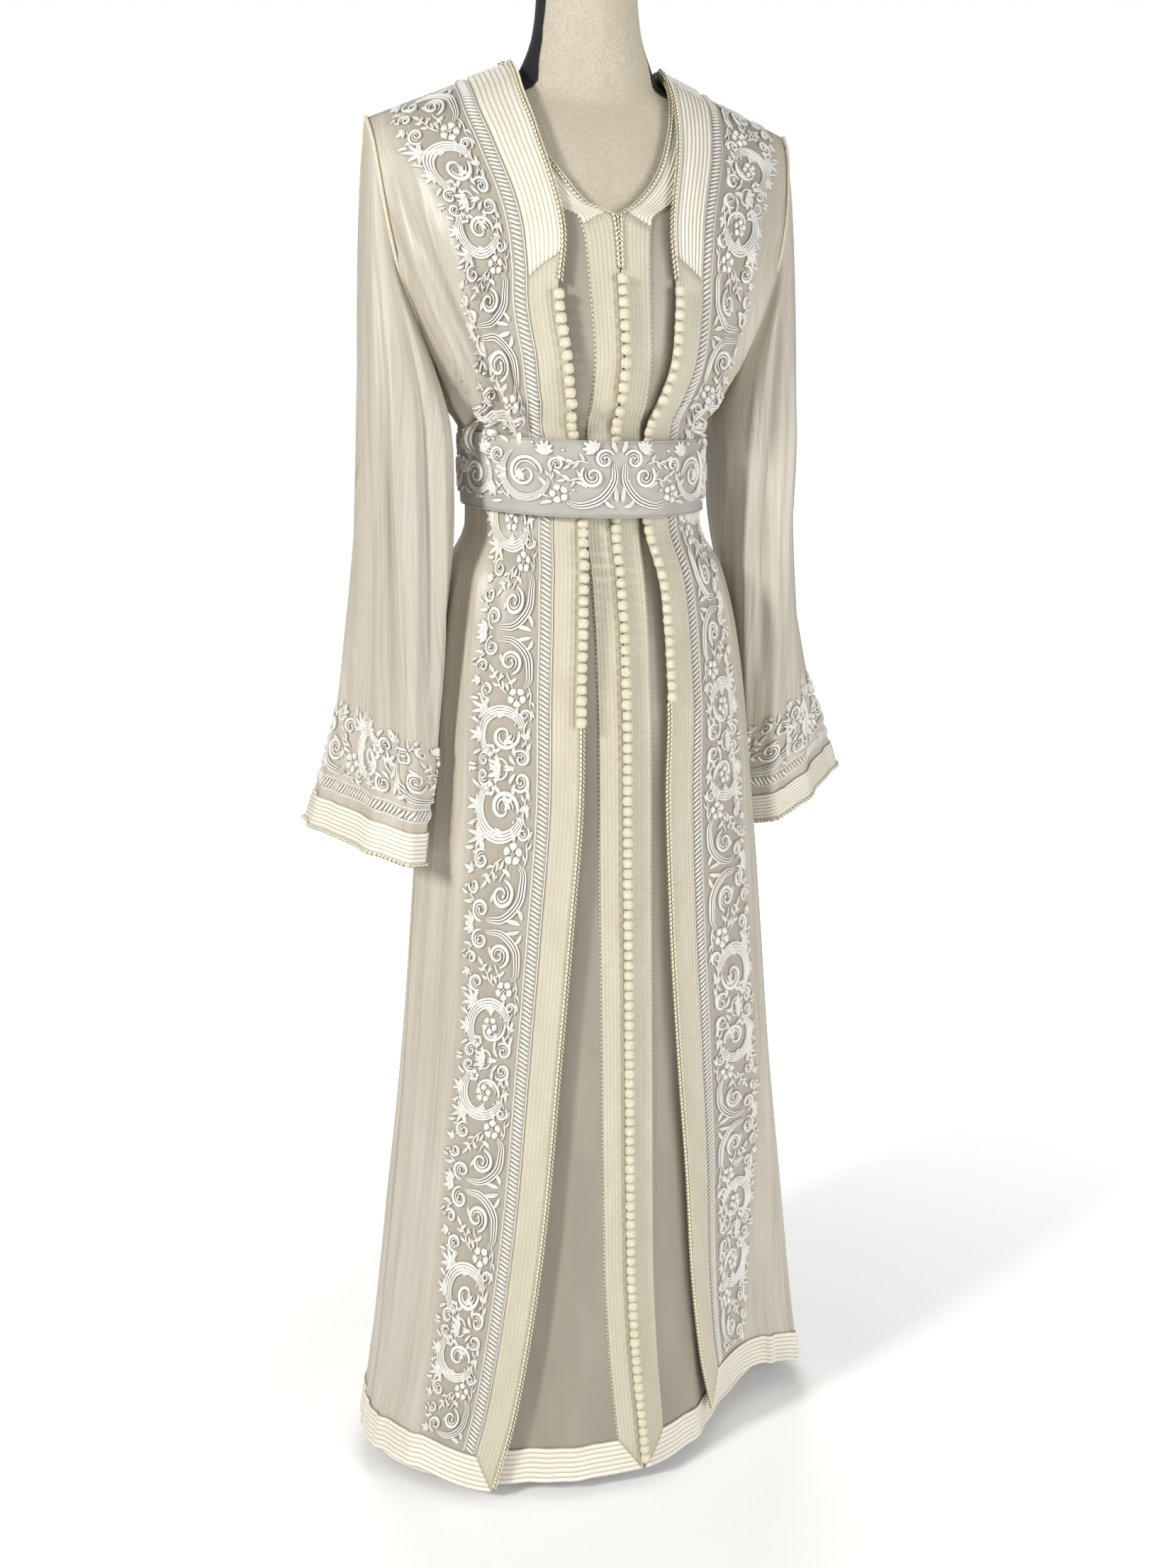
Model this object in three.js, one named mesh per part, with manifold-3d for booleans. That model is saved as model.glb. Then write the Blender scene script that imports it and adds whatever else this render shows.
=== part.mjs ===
// A takchita, the two-layer Moroccan gown, hanging on a limbless dress form with its own stand.
// Millimetres, +Z up. The front faces -Y and the wearer's left is +X.
// The origin is on the floor, in the middle of the stand's round base.
import * as THREE from "three";
import Module from "manifold-3d";
import { mergeVertices } from "three/addons/utils/BufferGeometryUtils.js";

// Thicknesses and gaps
const CLOTH = 1.5;
const TRIM = 1.5;
const SEAM = 0.3;
const RESTING = 0.5;
const BAND_ROOM = 0.7;

// The levels that shape the body of the gown
const ARMPIT_Z = 1156;
const NECK_SIDE_Z = 1472;
const NECK_SIDE_X = 80;
const SHOULDER_FALL = 0.4;
const RIDGE_Y = 10;
const UPPER_SPAN = NECK_SIDE_Z - ARMPIT_Z;
const RIDGE_HALF_WIDTH = 226;

// From the armpit (share 0) to the shoulder ridge (share 1): rise is the part of the height,
// front and back are parts of the depth at the bust, side is the part of the widening.
const UPPER = [
  { share: 0, rise: 0, front: 0.86, back: 0.92, side: 0 },
  { share: 0.14, rise: 0.16, front: 1, back: 0.97, side: 0.3 },
  { share: 0.34, rise: 0.445, front: 0.945, back: 1, side: 0.72 },
  { share: 0.45, rise: 0.553, front: 0.88, back: 0.98, side: 0.82 },
  { share: 0.62, rise: 0.73, front: 0.7, back: 0.88, side: 0.92 },
  { share: 0.86, rise: 0.93, front: 0.33, back: 0.46, side: 0.98 },
  { share: 1, rise: 1, front: 0, back: 0, side: 1 },
];

// The waist and chest sit a little towards the wearer's right of the skirt's middle.
const LEAN = [
  { z: 5, x: 0 },
  { z: 675, x: -2 },
  { z: 915, x: -4 },
  { z: 1035, x: -7 },
  { z: 1225, x: -7 },
  { z: 1375, x: -3 },
  { z: NECK_SIDE_Z, x: 0 },
];

// The belt
const BELT = { low: 1044, high: 1119, side: 127.8, front: 108, back: 97.8, thick: 2.6 };
const BELT_TILT = { back: 14, right: 3 };

// Half-sizes of each layer's outer face, level by level. hem is its lowest level and
// up is how far it stands above the form along the shoulder.
const FORM = {
  hem: 775,
  up: 0,
  bust: { front: 120, back: 100 },
  levels: [
    { z: 775, side: 140, front: 84, back: 104 },
    { z: 835, side: 149, front: 90, back: 108 },
    { z: 905, side: 144, front: 90, back: 102 },
    { z: 985, side: 128, front: 88, back: 94 },
    { z: 1035, side: 116.5, front: 85.5, back: 86.5 },
    { z: 1080, side: 116, front: 85, back: 86 },
    { z: 1132, side: 117.3, front: 87, back: 86.5 },
    { z: ARMPIT_Z, side: 130, front: 103.2, back: 92 },
  ],
};
const UNDER = {
  hem: 5,
  up: RESTING + CLOTH,
  bust: { front: 125, back: 105.5 },
  levels: [
    { z: 5, side: 251, front: 156, back: 167 },
    { z: 125, side: 234, front: 151, back: 159 },
    { z: 275, side: 215, front: 145, back: 149 },
    { z: 475, side: 193, front: 139, back: 139 },
    { z: 675, side: 177, front: 132, back: 131 },
    { z: 825, side: 165, front: 127, back: 124 },
    { z: 915, side: 155, front: 117, back: 115 },
    { z: 985, side: 139, front: 103, back: 103 },
    { z: 1035, side: 120, front: 89, back: 90 },
    { z: 1080, side: 119.5, front: 88.5, back: 89.5 },
    { z: 1132, side: 120.8, front: 90.5, back: 90 },
    { z: ARMPIT_Z, side: 134.5, front: 107.5, back: 97 },
  ],
};
const OVER = {
  hem: 15,
  up: 2 * (RESTING + CLOTH) + SEAM + TRIM + BAND_ROOM,
  bust: { front: 131, back: 112 },
  levels: [
    { z: 15, side: 263, front: 169, back: 178 },
    { z: 125, side: 246, front: 162, back: 169 },
    { z: 275, side: 227, front: 156, back: 159 },
    { z: 475, side: 204, front: 150, back: 149 },
    { z: 675, side: 187, front: 143, back: 141 },
    { z: 825, side: 174, front: 137, back: 133 },
    { z: 915, side: 164, front: 127, back: 124 },
    { z: 985, side: 149, front: 114, back: 112 },
    { z: 1035, side: 124, front: 94, back: 94 },
    { z: 1080, side: 123.5, front: 93.5, back: 93.5 },
    { z: 1132, side: 124.6, front: 95.5, back: 94.2 },
    { z: ARMPIT_Z, side: 141, front: 112.7, back: 103 },
  ],
};

// How far each hem stands above or below its layer's own level, round the skirt
const HEM_LIFT = [
  { deg: -180, under: 26, over: 22 },
  { deg: -90, under: 4, over: 10 },
  { deg: -65, under: 8, over: 15 },
  { deg: -38, under: 10, over: -2 },
  { deg: 0, under: 12, over: 4 },
  { deg: 30, under: 12, over: 34 },
  { deg: 60, under: 28, over: 16 },
  { deg: 90, under: 14, over: 4 },
  { deg: 180, under: 26, over: 22 },
];
const HEM_LIFT_FADES_BY = 600;

// Open front edges of the overdress and the V neck of the underdress, as distances
// from the centre line: right is the wearer's right (-X), left the wearer's left (+X).
const OVER_EDGE = [
  { z: 11, right: 160, left: 106 },
  { z: 105, right: 134, left: 84 },
  { z: 225, right: 112, left: 69 },
  { z: 335, right: 97, left: 62 },
  { z: 475, right: 83, left: 51 },
  { z: 635, right: 67, left: 42 },
  { z: 765, right: 55, left: 39 },
  { z: 859, right: 51, left: 43 },
  { z: 964, right: 42, left: 43 },
  { z: 1042, right: 32, left: 34 },
  { z: 1080, right: 34, left: 32 },
  { z: 1134, right: 43, left: 36 },
  { z: 1188, right: 56, left: 49 },
  { z: 1260, right: 66, left: 54 },
  { z: 1305, right: 62, left: 50 },
  { z: 1405, right: 79, left: 70 },
  { z: 1445, right: 84, left: 76 },
  { z: NECK_SIDE_Z, right: NECK_SIDE_X, left: NECK_SIDE_X },
];
const UNDER_EDGE = [
  { z: 15, right: -7, left: 9 },
  { z: 42, right: -5, left: 7 },
  { z: 162, right: 4, left: -2 },
  { z: 261, right: 7, left: -5 },
  { z: 675, right: 6, left: -4 },
  { z: 855, right: 4, left: -2 },
  { z: 1075, right: -1, left: 3 },
  { z: 1225, right: 3, left: -1 },
  { z: 1305, right: 6, left: -4 },
  { z: 1328, right: 8, left: -3 },
  { z: 1337, right: 34, left: 12 },
  { z: 1363, right: 56, left: 38 },
  { z: 1393, right: 75, left: 55 },
  { z: 1430, right: 84, left: 69 },
  { z: NECK_SIDE_Z, right: NECK_SIDE_X, left: NECK_SIDE_X },
];

// Armhole edge as an angle from the centre line; share goes from armpit to shoulder tip
const ARMHOLE = [
  { share: 0, deg: 90 },
  { share: 0.14, deg: 76 },
  { share: 0.34, deg: 72.5 },
  { share: 0.45, deg: 71 },
  { share: 0.62, deg: 70.5 },
  { share: 1, deg: 71 },
];

// Soft ridges that hang in the overdress skirt and swell towards the hem
const SKIRT_FOLDS = [
  { deg: -108, half: 14, rise: 6 },
  { deg: -86, half: 9, rise: 3 },
  { deg: -66, half: 8, rise: 3 },
  { deg: 66, half: 9, rise: 7 },
  { deg: 99, half: 14, rise: 7 },
  { deg: 126, half: 14, rise: 10 },
  { deg: 153, half: 14, rise: 8 },
  { deg: 171, half: 10, rise: 6 },
  { deg: -162, half: 14, rise: 10 },
  { deg: -135, half: 14, rise: 9 },
];
// The left front of both skirts falls inwards towards the hem.
const HOLLOW = { depth: 72, from: 0, to: 90, topZ: 575 };

// Widths of the braid bands, by height on the overdress and fixed elsewhere
const OVER_BAND = [
  { z: 5, width: 28 },
  { z: 1265, width: 28 },
  { z: 1305, width: 34 },
  { z: 1365, width: 36 },
  { z: NECK_SIDE_Z, width: 44 },
];
const UNDER_BAND = [
  { z: 5, width: 26 },
  { z: 1175, width: 27 },
  { z: 1305, width: 31 },
  { z: 1345, width: 36 },
  { z: NECK_SIDE_Z, width: 34 },
];
const HEM_BAND = 40;
const CUFF_BAND = 34;
const BACK_NECK_DROP = 60;
const BACK_BAND_REACH = 36;

// Rows of knotted buttons
const KNOT = { pitch: 10.8, across: 5.2, deep: 4.2, waist: 0.5, pressed: 0.5, sides: 5 };
const KNOT_ROWS = {
  under: { high: 1275, low: 15 },
  over_right: { high: 1259, low: 841 },
  over_left: { high: 1263, low: 861 },
};

// Sleeve sections from the armpit down, for the wearer's right and left sleeve
const SLEEVES = {
  right: [
    { z: 1115, x: 194, y: 2, out: 43, front: 64, turn: 0 },
    { z: 1035, x: 198, y: 2, out: 41, front: 67, turn: -4 },
    { z: 935, x: 207, y: 2, out: 37, front: 71, turn: -10 },
    { z: 845, x: 219, y: 2, out: 33, front: 73, turn: -16 },
    { z: 795, x: 227, y: 2, out: 30, front: 77, turn: -20 },
    { z: 743, x: 239, y: 2, out: 28, front: 81, turn: -23 },
    { z: 709, x: 247, y: 2, out: 27, front: 86, turn: -24 },
  ],
  left: [
    { z: 1115, x: 184, y: 4, out: 42, front: 62, turn: 0 },
    { z: 1035, x: 189, y: 10, out: 40, front: 66, turn: -8 },
    { z: 935, x: 208, y: 22, out: 37, front: 71, turn: -20 },
    { z: 845, x: 233, y: 38, out: 36, front: 75, turn: -32 },
    { z: 795, x: 247, y: 48, out: 37, front: 80, turn: -38 },
    { z: 743, x: 264, y: 62, out: 38, front: 86, turn: -43 },
    { z: 709, x: 276, y: 70, out: 38, front: 90, turn: -45 },
  ],
};
const CUFF_TILT = { right: 14, left: 26 };
const SLEEVE_FOLDS = [
  { deg: 25, half: 16, rise: 5 },
  { deg: 75, half: 14, rise: 4 },
  { deg: 330, half: 16, rise: 5 },
  { deg: 285, half: 15, rise: 5 },
];
const SLEEVE_CORNER = 2.6;

// The form's shoulders end short of the gown's, and its upper back stands clear of the cloth.
const FORM_TIP = 0.84;
const FORM_BACK = 0.72;

// The form's neck above the shoulders, and its stand
const NECK = [
  { z: 1375, side: 60, front: 44 },
  { z: 1445, side: 68, front: 46 },
  { z: 1467, side: 70, front: 46 },
  { z: 1481, side: 65, front: 46 },
  { z: 1499, side: 57.5, front: 46 },
  { z: 1520, side: 53, front: 46 },
  { z: 1545, side: 50.5, front: 46 },
  { z: 1593, side: 50, front: 46 },
];
const NECK_Y = 4;
const CAP = { radius: 44, thick: 7 };
const POLE = { radius: 12.5, low: 8, high: 775 };
const BASE = { radius: 104, thick: 10, collar: 20, collarTop: 44 };

const COLOURS = {
  ivory: new THREE.Color(0.86, 0.83, 0.77),
  satin: new THREE.Color(0.72, 0.68, 0.62),
  braid: new THREE.Color(0.9, 0.87, 0.72),
  belt: new THREE.Color(0.66, 0.65, 0.64),
  linen: new THREE.Color(0.85, 0.81, 0.7),
  dark: new THREE.Color(0.05, 0.05, 0.06),
  steel: new THREE.Color(0.3, 0.3, 0.31),
};
const material = (colour, roughness, metalness = 0) =>
  new THREE.MeshStandardMaterial({ color: COLOURS[colour], roughness, metalness });

const radians = THREE.MathUtils.degToRad;
const degrees = THREE.MathUtils.radToDeg;
const lerp = THREE.MathUtils.lerp;
const clamp = THREE.MathUtils.clamp;
const smooth = (t) => t * t * (3 - 2 * t);

// Reads a column of a table at a place between its rows, with a smooth curve through them.
function read(table, by, column, at) {
  const last = table.length - 1;
  const rising = table[last][by] > table[0][by];
  let i = 0;
  while (i < last - 1 && (rising ? at > table[i + 1][by] : at < table[i + 1][by])) i++;
  const slope = (a, b) => (table[b][column] - table[a][column]) / (table[b][by] - table[a][by]);
  const here = slope(i, i + 1);
  const bend = (a, b) => (a * b <= 0 ? 0 : (2 * a * b) / (a + b));
  const start = i > 0 ? bend(slope(i - 1, i), here) : here;
  const end = i + 1 < last ? bend(here, slope(i + 1, i + 2)) : here;
  const span = table[i + 1][by] - table[i][by];
  const t = clamp((at - table[i][by]) / span, 0, 1);
  const a = table[i][column];
  const b = table[i + 1][column];
  return (
    a * (1 + 2 * t) * (1 - t) ** 2 +
    b * t * t * (3 - 2 * t) +
    start * span * t * (1 - t) ** 2 -
    end * span * t * t * (1 - t)
  );
}

// A bump of height 1 that falls to 0 at half degrees either side of deg
function bump(at, deg, half) {
  const away = Math.abs(((at - deg + 540) % 360) - 180) / half;
  return away >= 1 ? 0 : Math.cos((away * Math.PI) / 2) ** 2;
}

// A point of a layer's outer face. deg turns from the centre front towards the wearer's left;
// level is a height up to the armpit, and above it runs on to the shoulder ridge.
function bodyPoint(layer, deg, level) {
  const across = Math.sin(radians(deg));
  const ahead = Math.cos(radians(deg));
  const facing = ahead > 0 ? "front" : "back";
  if (level > ARMPIT_Z) {
    const share = (level - ARMPIT_Z) / UPPER_SPAN;
    const rise = read(UPPER, "share", "rise", share);
    const depth = layer.bust[facing] * read(UPPER, "share", facing, share);
    const x = sideAt(layer, level) * across;
    const beyond = Math.max(0, Math.abs(x) - NECK_SIDE_X);
    const ridge = NECK_SIDE_Z + layer.up - SHOULDER_FALL * beyond;
    const z = ARMPIT_Z + (ridge - ARMPIT_Z) * rise;
    return new THREE.Vector3(x + leanAt(z), RIDGE_Y * rise - depth * ahead, z);
  }
  const lifts = layer === OVER ? "over" : "under";
  const near = 1 - clamp((level - layer.hem) / HEM_LIFT_FADES_BY, 0, 1);
  const lift = layer === FORM ? 0 : read(HEM_LIFT, "deg", lifts, ((deg + 540) % 360) - 180);
  let x = sideAt(layer, level) * across;
  let y = -read(layer.levels, "z", facing, level) * ahead;
  const low = 1 - clamp((level - layer.hem) / (HOLLOW.topZ - layer.hem), 0, 1);
  if (layer !== FORM && deg > HOLLOW.from && deg < HOLLOW.to)
    y += HOLLOW.depth * Math.sin(radians(2 * deg)) ** 2 * low ** 1.6;
  if (layer === OVER) {
    const drop = 1 - clamp((level - layer.hem) / (BELT.low - layer.hem), 0, 1);
    let rise = 0;
    for (const fold of SKIRT_FOLDS) rise += fold.rise * bump(deg, fold.deg, fold.half);
    const grow = 1 + (rise * Math.min(1, 0.25 + drop) * Math.min(1, 6 * drop)) / Math.hypot(x, y);
    x *= grow;
    y *= grow;
  }
  return new THREE.Vector3(x + leanAt(level), y, level + lift * smooth(near));
}

function leanAt(z) {
  return read(LEAN, "z", "x", z);
}

// The point with its outward normal, from small steps each way
function onBody(layer, deg, level) {
  const step = 0.05;
  const top = NECK_SIDE_Z - step;
  const at = clamp(level, layer.hem + step, top);
  const east = bodyPoint(layer, deg + step, at).sub(bodyPoint(layer, deg - step, at));
  const north = bodyPoint(layer, deg, at + step).sub(bodyPoint(layer, deg, at - step));
  const n = east.cross(north);
  if (level >= NECK_SIDE_Z) n.y = 0;
  return { p: bodyPoint(layer, deg, level), n: n.normalize() };
}

// The same on the flat facets between two rows of the panels, at height z
function onFacet(layer, deg, z) {
  const levels = panelLevels(layer);
  let i = 0;
  while (i < levels.length - 2 && heightOf(levels[i + 1]) < z) i++;
  const [low, high] = [heightOf(levels[i]), heightOf(levels[i + 1])];
  const [a, b] = [levels[i], levels[i + 1]].map((level) => onBody(layer, deg, level));
  const t = (z - low) / (high - low);
  return { p: a.p.lerp(b.p, t), n: a.n.lerp(b.n, t).normalize() };
}

// Height at which a row crosses the middle of the body, and the row that crosses it at height z
function heightOf(level) {
  if (level <= ARMPIT_Z) return level;
  return ARMPIT_Z + UPPER_SPAN * read(UPPER, "share", "rise", (level - ARMPIT_Z) / UPPER_SPAN);
}
function levelAt(z) {
  if (z <= ARMPIT_Z) return z;
  return ARMPIT_Z + UPPER_SPAN * read(UPPER, "rise", "share", (z - ARMPIT_Z) / UPPER_SPAN);
}

function sideAt(layer, level) {
  const low = read(layer.levels, "z", "side", Math.min(level, ARMPIT_Z));
  if (level <= ARMPIT_Z) return low;
  const wide = read(UPPER, "share", "side", (level - ARMPIT_Z) / UPPER_SPAN);
  return lerp(low, RIDGE_HALF_WIDTH + layer.up, wide);
}

function armholeDeg(level) {
  return read(ARMHOLE, "share", "deg", clamp((level - ARMPIT_Z) / UPPER_SPAN, 0, 1));
}

// Makes one closed solid between an outer grid of {p, n} and the same grid moved in.
// around joins the last column to the first.
function wall(grid, thick, around = false) {
  const rows = grid.length;
  const columns = grid[0].length;
  const positions = [];
  for (const row of grid) for (const { p } of row) positions.push(p.x, p.y, p.z);
  for (const row of grid)
    for (const { p, n } of row)
      positions.push(p.x - n.x * thick, p.y - n.y * thick, p.z - n.z * thick);
  const at = (face, r, c) => face * rows * columns + r * columns + (c % columns);
  const faces = [];
  const quad = (a, b, c, d) => faces.push(a, b, c, a, c, d);
  const spans = around ? columns : columns - 1;
  for (let r = 0; r < rows - 1; r++)
    for (let c = 0; c < spans; c++) {
      quad(at(0, r, c), at(0, r, c + 1), at(0, r + 1, c + 1), at(0, r + 1, c));
      quad(at(1, r, c), at(1, r + 1, c), at(1, r + 1, c + 1), at(1, r, c + 1));
    }
  for (let c = 0; c < spans; c++) {
    quad(at(0, 0, c), at(1, 0, c), at(1, 0, c + 1), at(0, 0, c + 1));
    quad(at(0, rows - 1, c + 1), at(1, rows - 1, c + 1), at(1, rows - 1, c), at(0, rows - 1, c));
  }
  for (let r = 0; r < rows - 1 && !around; r++) {
    quad(at(0, r, 0), at(0, r + 1, 0), at(1, r + 1, 0), at(1, r, 0));
    const end = columns - 1;
    quad(at(0, r, end), at(1, r, end), at(1, r + 1, end), at(0, r + 1, end));
  }
  return solidFrom(positions, faces);
}

function solidFrom(positions, faces) {
  const geometry = new THREE.BufferGeometry();
  geometry.setAttribute("position", new THREE.Float32BufferAttribute(positions, 3));
  geometry.setIndex(faces);
  return geometry;
}

// The part of a grid between two rows and two columns, moved out from its panel
function onPanel(grid, rows, columns) {
  const move = SEAM + TRIM;
  return grid.slice(rows[0], rows[1] + 1).map((row) =>
    row.slice(columns[0], columns[1] + 1).map(({ p, n }) => ({ p: p.clone().addScaledVector(n, move), n })),
  );
}

// Rows of every body panel: heights up to the armpit, then shares of the way to the shoulder
const LEVELS = [145, 295, 465, 645, 805, 915, 985, 1035, 1080, 1132, ARMPIT_Z];
const SHARES = [0.14, 0.34, 0.45, 0.62, 0.86, 1];
const HEM_ROWS = [0, HEM_BAND];
const ARMPIT_ROW = HEM_ROWS.length + LEVELS.length - 1;
const MITER_ROW = ARMPIT_ROW + 2;
const TOP_ROW = ARMPIT_ROW + SHARES.length;

function panelLevels(layer) {
  return [
    ...HEM_ROWS.map((up) => layer.hem + up),
    ...LEVELS,
    ...SHARES.map((share) => ARMPIT_Z + UPPER_SPAN * share),
  ];
}

// A front panel's grid. side is -1 for the wearer's right, +1 for the left. Its first two
// columns along the open edge carry the braid band.
function frontGrid(layer, side, columns) {
  const edges = layer === OVER ? OVER_EDGE : UNDER_EDGE;
  const bands = layer === OVER ? OVER_BAND : UNDER_BAND;
  return panelLevels(layer).map((level) => {
    const z = heightOf(level);
    const half = sideAt(layer, level);
    const edge = read(edges, "z", side < 0 ? "right" : "left", z);
    const inner = degrees(Math.asin(edge / half));
    const banded = degrees(Math.asin((edge + read(bands, "z", "width", z)) / half));
    const outer = armholeDeg(level) - degrees(SEAM / 2 / half);
    const places = [inner, banded];
    for (let c = 1; c <= columns - 1; c++) places.push(lerp(banded, outer, c / (columns - 1)));
    const row = places.map((deg) => onBody(layer, side * deg, level));
    if (level === NECK_SIDE_Z) row.forEach((place) => (place.p.y -= SEAM / 2));
    return side < 0 ? row.reverse() : row;
  });
}

// The back panel's grid, from the wearer's left side seam to the right one
function backGrid(layer, columns) {
  const neckDeg = degrees(Math.asin(NECK_SIDE_X / RIDGE_HALF_WIDTH));
  const grid = panelLevels(layer).map((level) => {
    const row = [];
    for (let c = 0; c <= columns; c++) {
      const across = 1 - (2 * c) / columns;
      const share = clamp((level - ARMPIT_Z) / UPPER_SPAN, 0, 1);
      const reach = armholeDeg(level) - degrees(SEAM / 2 / sideAt(layer, level));
      const deg = across * reach;
      const scoop = Math.max(0, 1 - (deg / neckDeg) ** 2) * BACK_NECK_DROP;
      const at = level - scoop * share;
      row.push(onBody(layer, 180 - deg, at));
    }
    if (level === NECK_SIDE_Z) row.forEach((place) => (place.p.y += SEAM / 2));
    return row;
  });
  return grid;
}

// A string of knotted buttons: a beaded rod along points, each with its outward direction.
// deep is how thick the knot is there.
function knotRow(points) {
  const rings = [];
  points.forEach(({ p, n, deep }, i) => {
    const before = points[Math.max(0, i - 1)].p;
    const after = points[Math.min(points.length - 1, i + 1)].p;
    const along = after.clone().sub(before).normalize();
    const sideways = along.clone().cross(n).normalize();
    const full = i % 2 === 1;
    const size = full ? 1 : KNOT.waist;
    const ring = [];
    for (let k = 0; k < KNOT.sides; k++) {
      const turn = ((k + 0.5) / KNOT.sides) * 2 * Math.PI;
      ring.push(
        p
          .clone()
          .addScaledVector(sideways, Math.cos(turn) * KNOT.across * size)
          .addScaledVector(n, Math.sin(turn) * deep * size),
      );
    }
    rings.push(ring);
  });
  return rod(rings);
}

// A closed solid through rings of equal count, capped flat at both ends
function rod(rings) {
  const positions = rings.flat().flatMap((p) => [p.x, p.y, p.z]);
  const count = rings[0].length;
  const faces = [];
  for (let r = 0; r < rings.length - 1; r++)
    for (let k = 0; k < count; k++) {
      const a = r * count + k;
      const b = r * count + ((k + 1) % count);
      faces.push(a, b, b + count, a, b + count, a + count);
    }
  const last = (rings.length - 1) * count;
  for (let k = 1; k < count - 1; k++) {
    faces.push(0, k + 1, k);
    faces.push(last, last + k, last + k + 1);
  }
  return turnedOut(solidFrom(positions, faces));
}

// Turns a solid's faces to point outwards, whichever way its rings ran
function turnedOut(geometry) {
  const p = geometry.attributes.position;
  const index = geometry.index.array;
  const [a, b, c] = [new THREE.Vector3(), new THREE.Vector3(), new THREE.Vector3()];
  let volume = 0;
  for (let i = 0; i < index.length; i += 3) {
    a.fromBufferAttribute(p, index[i]);
    b.fromBufferAttribute(p, index[i + 1]);
    c.fromBufferAttribute(p, index[i + 2]);
    volume += a.dot(b.cross(c));
  }
  if (volume < 0)
    for (let i = 0; i < index.length; i += 3) [index[i + 1], index[i + 2]] = [index[i + 2], index[i + 1]];
  return geometry;
}

// Places along a knot row: the centre of every knot and of every neck between two knots
function knotPlaces(span, placeAt) {
  const count = Math.round((span.high - span.low) / KNOT.pitch) * 2;
  const places = [];
  for (let i = 0; i <= count; i++) places.push(placeAt(lerp(span.high, span.low, i / count)));
  return places;
}

function underKnots() {
  const stand = SEAM + TRIM + RESTING + KNOT.deep;
  return knotPlaces(KNOT_ROWS.under, (z) => {
    const level = levelAt(z);
    const [right, left] = ["right", "left"].map((side) => read(UNDER_EDGE, "z", side, z));
    const deg = degrees(Math.asin((left - right) / 2 / sideAt(UNDER, level)));
    const { p, n } = onFacet(UNDER, deg, z);
    return { p: p.addScaledVector(n, stand), n, deep: KNOT.deep };
  });
}

// The overdress's rows sit on the very edge of its bands and are pressed flat by the belt.
function overKnots(side) {
  const column = side < 0 ? "right" : "left";
  return knotPlaces(KNOT_ROWS[`over_${column}`], (z) => {
    const level = levelAt(z);
    const deg = side * degrees(Math.asin(read(OVER_EDGE, "z", column, z) / sideAt(OVER, level)));
    const { p, n } = onFacet(OVER, deg, z);
    const fromBelt = Math.abs(z - (BELT.low + BELT.high) / 2) - (BELT.high - BELT.low) / 2;
    const deep = KNOT.deep * lerp(KNOT.pressed, 1, smooth(clamp(fromBelt / 12 - 0.3, 0, 1)));
    return { p: p.addScaledVector(n, 2 * SEAM + TRIM + deep), n, deep };
  });
}

// One ring of a sleeve below the armpit
function sleeveSection(side, z, phi) {
  const table = SLEEVES[side < 0 ? "right" : "left"];
  const column = (name) => read(table, "z", name, z);
  const turn = radians(column("turn"));
  const round = (v) => Math.sign(v) * Math.abs(v) ** (2 / SLEEVE_CORNER);
  const low = clamp((table[0].z - z) / 200, 0, 1);
  let rise = 0;
  for (const fold of SLEEVE_FOLDS) rise += fold.rise * bump(degrees(phi), fold.deg, fold.half);
  const out = (column("out") + rise * low) * round(Math.cos(phi));
  const front = (column("front") + rise * low) * round(Math.sin(phi));
  const tilt = CUFF_TILT[side < 0 ? "right" : "left"] * smooth(clamp((875 - z) / 150, 0, 1));
  return new THREE.Vector3(
    side * (column("x") + out * Math.cos(turn) + front * Math.sin(turn)),
    column("y") + out * Math.sin(turn) - front * Math.cos(turn),
    z + tilt * (Math.cos(phi) * 0.5 - Math.sin(phi) * 0.7),
  );
}

// Where the sleeve leaves the armhole. phi is 0 at the shoulder tip, a quarter turn at the
// front, a half turn at the armpit.
function armholePlace(side, phi) {
  const facing = phi <= Math.PI ? 1 : -1;
  const down = phi <= Math.PI ? phi / Math.PI : (2 * Math.PI - phi) / Math.PI;
  const rows = [0, ...SHARES];
  const along = (1 - down) * (rows.length - 1);
  const low = Math.min(rows.length - 2, Math.floor(along));
  const [from, to] = [low, low + 1].map((i) => {
    const level = ARMPIT_Z + UPPER_SPAN * rows[i];
    const deg = armholeDeg(level);
    return onBody(OVER, side * (facing > 0 ? deg : 180 - deg), level);
  });
  const t = along - low;
  const p = from.p.lerp(to.p, t);
  const n = from.n.lerp(to.n, t).normalize();
  const under = smooth(clamp((down - 0.62) / 0.38, 0, 1));
  n.lerp(new THREE.Vector3(0, 0, -1), under).normalize();
  p.x += side * 4 * SEAM;
  p.z += 2.2 * under;
  return { p, n };
}

const HEAD_ROWS = [0, 0.22, 0.5, 0.78];
const SLEEVE_ROWS = [1115, 1045, 965, 885, 825, 780, 709 + CUFF_BAND, 709];

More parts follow.
